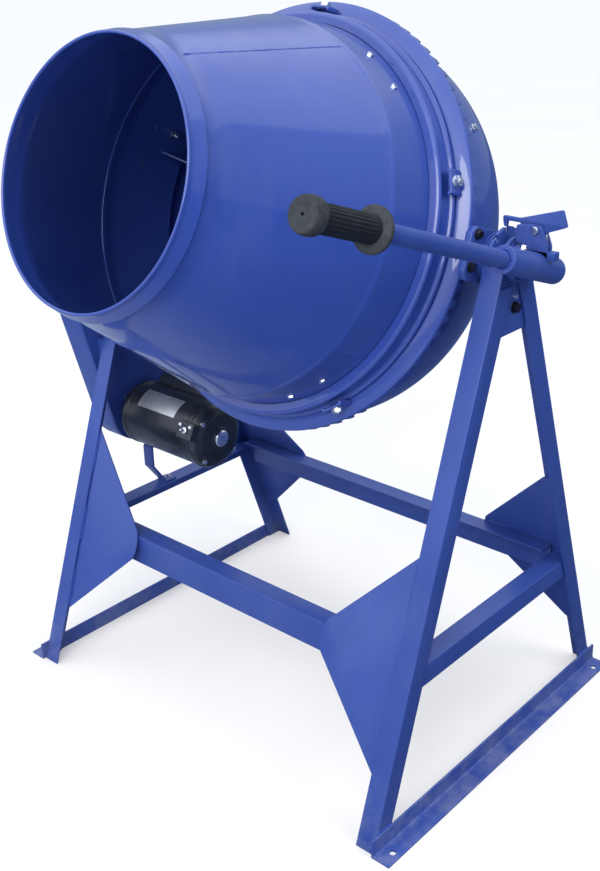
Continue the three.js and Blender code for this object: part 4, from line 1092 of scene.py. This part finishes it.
def make_spindle():
    hub, end = -BOWL_DEPTH - GAP, YOKE_BACK - GAP - 28
    flange_r, boss_r, thread_r = 62, 27, 12
    spindle = fillet(
        [(0, hub), (flange_r, hub), (flange_r, hub - 8), (boss_r, hub - 10), (boss_r, hub - 20),
         (SPINDLE_R, hub - 20), (SPINDLE_R, end - 1), (thread_r, end - 1), (thread_r, end - 20),
         (0, end - 20)],
        [0, 1, 2, 3, 1, 1, 0.8, 0.5, 1.5, 0],
    )
    add("spindle_hub", "drum", revolve(spindle), CAST, TILT, "drum_spindle")
    at = [(x, y, hub - 8.6) for x, y in arc(0, 0, 46, 45, 315, 3)]
    bolts("hub_bolt", "drum", at, (0, 0, -1), TILT, 11, 5, 8)
    flip = shift(z=end - 1 - GAP) @ turn(180, "X")
    nut = add("spindle_hex", "drum", hex_head(34.6, 16), ZINC, TILT @ flip, "spindle_nut", sharp=28)
    drill(nut, TILT, [((0, 0, end - 9), (0, 0, 1), thread_r + 0.2, 40)])


# ---------------------------------------------------------------- drive


def teardrop(top_r, foot_r, steps=72):
    """The outline of a band round the tilt axis and the motor's axis, in (y, z)."""
    dy, dz = MOTOR_Y, MOTOR_Z - PIVOT_Z
    along = math.degrees(math.atan2(dz, dy))
    spread = math.degrees(math.acos((top_r - foot_r) / math.hypot(dy, dz)))
    top = arc(0, PIVOT_Z, top_r, along + spread, along - spread + 360, steps)
    return top + arc(MOTOR_Y, MOTOR_Z, foot_r, along - spread, along + spread, steps // 3)


def make_guard():
    """A deep pan with a rounded front edge, a rolled hem and a raised panel."""
    x0, depth = GUARD_BACK_X - GUARD_DEPTH, GUARD_DEPTH - 3 - GAP
    bend, wall, panel = 9, 2.5, 20
    # Each level is (inset from the outline, distance from the front face).
    levels = [(panel, 0), (panel - 1.5, 0), *arc(bend, bend, bend, 270, 180, 5)]
    levels += [(0, depth - 7), (0, depth - 0.6), (0.6, depth), (wall, depth)]
    levels += [*arc(bend, bend, bend - wall, 180, 270, 5), (panel, wall)]
    rings = []
    for inset, out in levels:
        outline = teardrop(GUARD_TOP_R - inset, GUARD_FOOT_R - inset)
        rings.append([(x0 + out, y, z) for y, z in outline])
    add("guard_pan", "stand", skin(rings), PAINT, STAND, "belt_guard", sharp=50)

    holes = [circle(0, PIVOT_Z, BEARING_R + 4, 64), circle(MOTOR_Y, MOTOR_Z, 16, 40)]
    back = side_plate(teardrop(GUARD_TOP_R, GUARD_FOOT_R), GUARD_BACK_X - 3, 3, holes, 0.5)
    add("guard_back", "stand", back, PAINT, STAND, "guard_back_plate")
    reach = -leg_y(640) - 6
    strap = block(GUARD_BACK_X + GAP, -HALF_WIDTH - GAP, -reach, reach, 620, 660, 1.0)
    add("guard_carrier", "stand", strap, PAINT, STAND)
    screws = ((0, PIVOT_Z + 214), (-196, PIVOT_Z - 78), (176, PIVOT_Z - 92), (-45, 424))
    at = [(x0 + 0.2, y, z) for y, z in screws]
    bolts("guard_screw", "stand", at, (-1, 0, 0), STAND, 10, 3.2, 7.5)


def make_motor():
    """The shell with its two grooves, the bells with their bolts, and the capacitor's cover, which also
    stands in for shade above the motor.
    """
    axis = shift(0, MOTOR_Y, MOTOR_Z) @ TURN_TO_X
    left, right, r = MOTOR_LEFT + BELL_LENGTH, MOTOR_RIGHT - BELL_LENGTH, MOTOR_R
    low, high = left + GAP, right - GAP
    grooves = []
    for t in (low + 9, high - 9):
        grooves += [(r, t - 2), (r - 1.1, t - 1), (r - 1.1, t + 1), (r, t + 2)]
    shell = [(0, low), (r - 0.6, low), (r, low + 0.8), *grooves]
    shell += [(r, high - 0.8), (r - 0.6, high), (0, high)]
    add("motor_drum", "stand", revolve(shell, 128), MOTOR_BLACK, STAND @ axis, "motor_shell")
    for side, sign, x, bore in (("left", -1, left, 8.3), ("right", 1, right, 0)):
        profile = fillet(
            [(bore, 0), (r - 1, 0), (r + 1, 2), (r + 1, 10), (r - 4, 20), (r - 18, 28), (24, 30),
             (22, BELL_LENGTH), (bore, BELL_LENGTH)],
            [0, 0.5, 1, 3, 6, 6, 2, 1, 0.5],
        )
        place = shift(x, MOTOR_Y, MOTOR_Z) @ turn(90 * sign, "Y")
        add(f"motor_cap_{side}", "stand", revolve(profile, 128), MOTOR_BLACK, STAND @ place,
            f"motor_bell_{side}")
        at = [(x + sign * 22, y, z) for y, z in arc(MOTOR_Y, MOTOR_Z, 59, 45, 315, 3)]
        bolts(f"motor_{side}_bolt", "stand", at, (sign, 0, 0), STAND, 8, 3.6, 5)
    cap = fillet([(0, 31), (18, 31), (18, 34.5), (15, 37.5), (0, 38)], [0, 0.5, 1.5, 2, 0], 4)
    add("motor_shaft_cap", "stand", revolve(cap, 64), ZINC, STAND @ shift(right) @ axis)

    # The capacitor's black cover is long and set on top of the motor, so that it also fills the dark
    # shade between the motor and the drum.
    can_r, can_left, can_right, angle = 21, -425, -255, math.radians(35)
    can = fillet([(0, can_left), (can_r, can_left), (can_r, can_right), (0, can_right)], [0, 7, 7, 0])
    out = MOTOR_R + 8
    place = STAND @ shift(0, out * math.sin(angle), out * math.cos(angle)) @ axis
    add("capacitor_can", "stand", revolve(can, 64), MOTOR_BLACK, place, "capacitor_cover")


def make_switch():
    """The box on the motor's front with its cover screws, nut and toggle."""
    out, depth = MOTOR_R + 12, 16
    on_motor = STAND @ shift(-240, MOTOR_Y, MOTOR_Z) @ turn(-25, "X")
    face = fillet([(-22, -18), (22, -18), (22, 18), (-22, 18)], 4)
    box_body = front_plate(face, depth - out, depth, [circle(0, 0, 4.5, 24)], 1.6)
    add("switch_cover", "stand", box_body, MOTOR_BLACK, on_motor, "switch_box")
    at = [(x, -out, 10) for x in (-14, 14)]
    bolts("switch_screw", "stand", at, (0, -1, 0), on_motor, 6, 2.2, 4)
    nut = moved(hex_head(13, 2.6), shift(0, -out) @ TURN_TO_FRONT)
    add("toggle_nut", "stand", nut, ZINC, on_motor, sharp=28)
    lever = fillet([(0, -3), (3, -3), (3, 0), (2.2, 10), (2.8, 12), (0, 12.5)], [0, 0.5, 1, 1, 1, 0], 4)
    at_nut = on_motor @ shift(0, -out - 1) @ TURN_TO_FRONT
    add("toggle_lever", "toggle", revolve(lever, 32), ZINC, at_nut, "switch_toggle")


def make_nameplate():
    """A thin blank plate bent round the motor."""
    length, height, steps = 112, 44, 12
    half = math.degrees(height / MOTOR_R / 2)
    section = arc(0, 0, MOTOR_R + 0.1, 180 - half, 180 + half, steps)
    section += arc(0, 0, MOTOR_R + 0.9, 180 + half, 180 - half, steps)
    label = skin([[(x, y, z) for y, z in section] for x in (-length / 2, length / 2)])
    place = shift(-348, MOTOR_Y, MOTOR_Z) @ turn(-56, "X")
    add("motor_nameplate", "stand", label, LABEL, STAND @ place, sharp=60)


def make_motor_strut():
    """A flat bar, bent from under the motor down to the left side brace."""
    top, foot = MOTOR_Z - MOTOR_R - 1 - GAP, BRACE_TOP + GAP
    outline = fillet(
        [(-59, top - 1), (-64, top - 5), (-64, 350), (-30, foot + 5), (-30, foot), (0, foot),
         (0, foot + 5), (-27, foot + 5.5), (-59, 352), (-59, top - 6), (-24, top - 6), (-24, top - 1)],
        [2, 3, 5, 2, 0.6, 0.6, 0.6, 2, 4, 1, 0.6, 0.6],
    )
    strut = side_plate(outline, -440, 28, bevel=0.8)
    add("motor_bracket", "stand", strut, PAINT, STAND, "motor_strut")
    bolt("bracket_bolt", "stand", (-426, -12, foot + 5), (0, 0, 1), STAND, 10, 4.5, 7)


def keep_cad(node, material, bevel):
    """A CAD node that is shown as it is, with its sharp edges broken."""
    obj = frame["nodes"][node]
    obj.data.materials.clear()
    obj.data.materials.append(material)
    weld_modifier = obj.modifiers.new("merge", "WELD")
    weld_modifier.merge_threshold = 1e-5
    edge = obj.modifiers.new("edges", "BEVEL")
    edge.width = bevel
    edge.segments = 2
    edge.limit_method = "ANGLE"
    edge.angle_limit = math.radians(35)


make_legs()
make_gussets()
make_foot_rails()
make_side_braces()
make_cross_rails()
make_apexes()
make_lock_sector()
make_latch()
make_yoke()
make_spindle_sleeve()
make_trunnions()
make_handle()
make_grip()
make_shell()
make_bowl()
make_ring_gear()
make_hoop()
make_lugs()
make_paddles()
make_spindle()
make_guard()
make_motor()
make_switch()
make_nameplate()
make_motor_strut()
for node, metal, edge_width in (
    ("pinion", CAST, 0.0006),
    ("large_pulley", CAST, 0.0008),
    ("motor_pulley", CAST, 0.0006),
    ("v_belt", BELT, 0.0006),
    ("pinion_shaft", STEEL_BARE, 0.0008),
    ("motor_shaft", STEEL_BARE, 0.0006),
):
    keep_cad(node, metal, edge_width)

# ---------------------------------------------------------------- floor, light and camera


def make_floor():
    """A pale matt floor. Reflections in the paint see it darker and bluer than the camera does."""
    bm = bmesh.new()
    bmesh.ops.create_circle(bm, cap_ends=True, segments=96, radius=60)
    mesh = bpy.data.meshes.new("floor")
    bm.to_mesh(mesh)
    bm.free()
    floor = bpy.data.objects.new("floor", mesh)
    bpy.context.scene.collection.objects.link(floor)
    n = Nodes("pale_floor")
    path = n.add("ShaderNodeLightPath")
    seen, mirrored = path.outputs["Is Camera Ray"], path.outputs["Is Glossy Ray"]
    pale = n.mix(n.range(n.noise(1.2, 5.0), 0.3, 0.7), (0.64, 0.61, 0.57), (0.67, 0.64, 0.60))
    x, y, _ = n.split(n.place)
    front_left = n.math("ADD", x, y)
    bounce = n.mix(n.range(front_left, 1.0, -1.5), (0.10, 0.11, 0.14), (0.56, 0.58, 0.63))
    strip = n.times(n.range(front_left, -2.3, -1.7), n.range(front_left, 0.2, -0.4))
    mirror = n.mix(strip, (0.06, 0.09, 0.20), (0.30, 0.34, 0.44))
    colour = n.mix(seen, n.mix(mirrored, bounce, mirror), pale)
    n.finish(
        Base_Color=colour, Roughness=0.9, Specular_IOR_Level=0.1, Emission_Color=(1, 1, 1),
        Emission_Strength=n.times(seen, 0.30),
    )
    mesh.materials.append(n.owner)


def area_light(name, place, target, size, power, colour, glossy=True):
    data = bpy.data.lights.new(name, "AREA")
    data.shape = "DISK"
    data.size = size
    data.energy = power
    data.color = colour
    light = bpy.data.objects.new(name, data)
    light.location = place
    light.rotation_euler = (Vector(target) - Vector(place)).to_track_quat("-Z", "Y").to_euler()
    light.visible_glossy = glossy
    bpy.context.scene.collection.objects.link(light)


def make_world():
    """An overcast dome, a bright ceiling that stops short on the right, and a window to the front
    left. The camera itself sees a plain white backdrop."""
    n = Nodes("studio", "worlds")
    direction = n.add("ShaderNodeTexCoord").outputs["Generated"]
    across, _, up = n.split(direction)
    dome = n.range(up, 0.0, 1.0, 0.40, 0.55)
    ceiling = n.times(n.range(across, 0.63, 0.59, 0.0, 0.9), n.range(up, 0.40, 0.62))
    window = n.range(n.dot(direction, (-0.48, -0.87, 0.10)), 0.5, 1.0, 0.0, 0.85)
    total = n.math("ADD", n.math("ADD", dome, ceiling), window)
    tint = n.mix(n.math("DIVIDE", dome, total), (0.94, 0.96, 1.0), (0.66, 0.82, 1.10))
    background = n.tree.nodes["Background"]
    n.put(background.inputs["Color"], tint)
    n.put(background.inputs["Strength"], total)
    backdrop = n.add("ShaderNodeBackground", Color=(0.97, 0.98, 1.0))
    seen = n.add("ShaderNodeLightPath").outputs["Is Camera Ray"]
    shown = n.add("ShaderNodeMixShader", Fac=seen)
    n.put(shown.inputs[1], background.outputs[0])
    n.put(shown.inputs[2], backdrop.outputs[0])
    n.put(n.tree.nodes["World Output"].inputs["Surface"], shown.outputs[0])
    bpy.context.scene.world = n.owner


def make_lights():
    """A soft key from the front, and two fills that don't show in reflections."""
    area_light("key", (1.6, -3.4, 3.0), (0, 0, 0.7), 2.4, 85, (1.0, 0.98, 0.95))
    area_light("side", (3.6, 0.6, 3.0), (0, 0, 0.9), 2.4, 55, (1.0, 0.99, 0.97), glossy=False)
    area_light("low_front", (0.8, -3.4, 0.5), (0, 0, 0.3), 2.0, 16, (1.0, 0.98, 0.94), glossy=False)


def make_camera():
    azimuth, elevation, roll = (math.radians(a) for a in (40.56, 22.44, -0.66))
    data = bpy.data.cameras.new("view")
    data.lens = 48.31
    data.shift_x = -0.0436
    data.shift_y = -0.0385
    camera = bpy.data.objects.new("view", data)
    camera.location = (1.40522, -1.46814, 1.45935)
    forward = Vector((
        -math.sin(azimuth) * math.cos(elevation),
        math.cos(azimuth) * math.cos(elevation),
        -math.sin(elevation),
    ))
    aim = forward.to_track_quat("-Z", "Y").to_matrix() @ Matrix.Rotation(roll, 3, "Z")
    camera.rotation_euler = aim.to_euler()
    bpy.context.scene.collection.objects.link(camera)
    bpy.context.scene.camera = camera


make_floor()
make_world()
make_lights()
make_camera()
bpy.context.scene.view_settings.view_transform = "Standard"

bpy.context.view_layer.update()
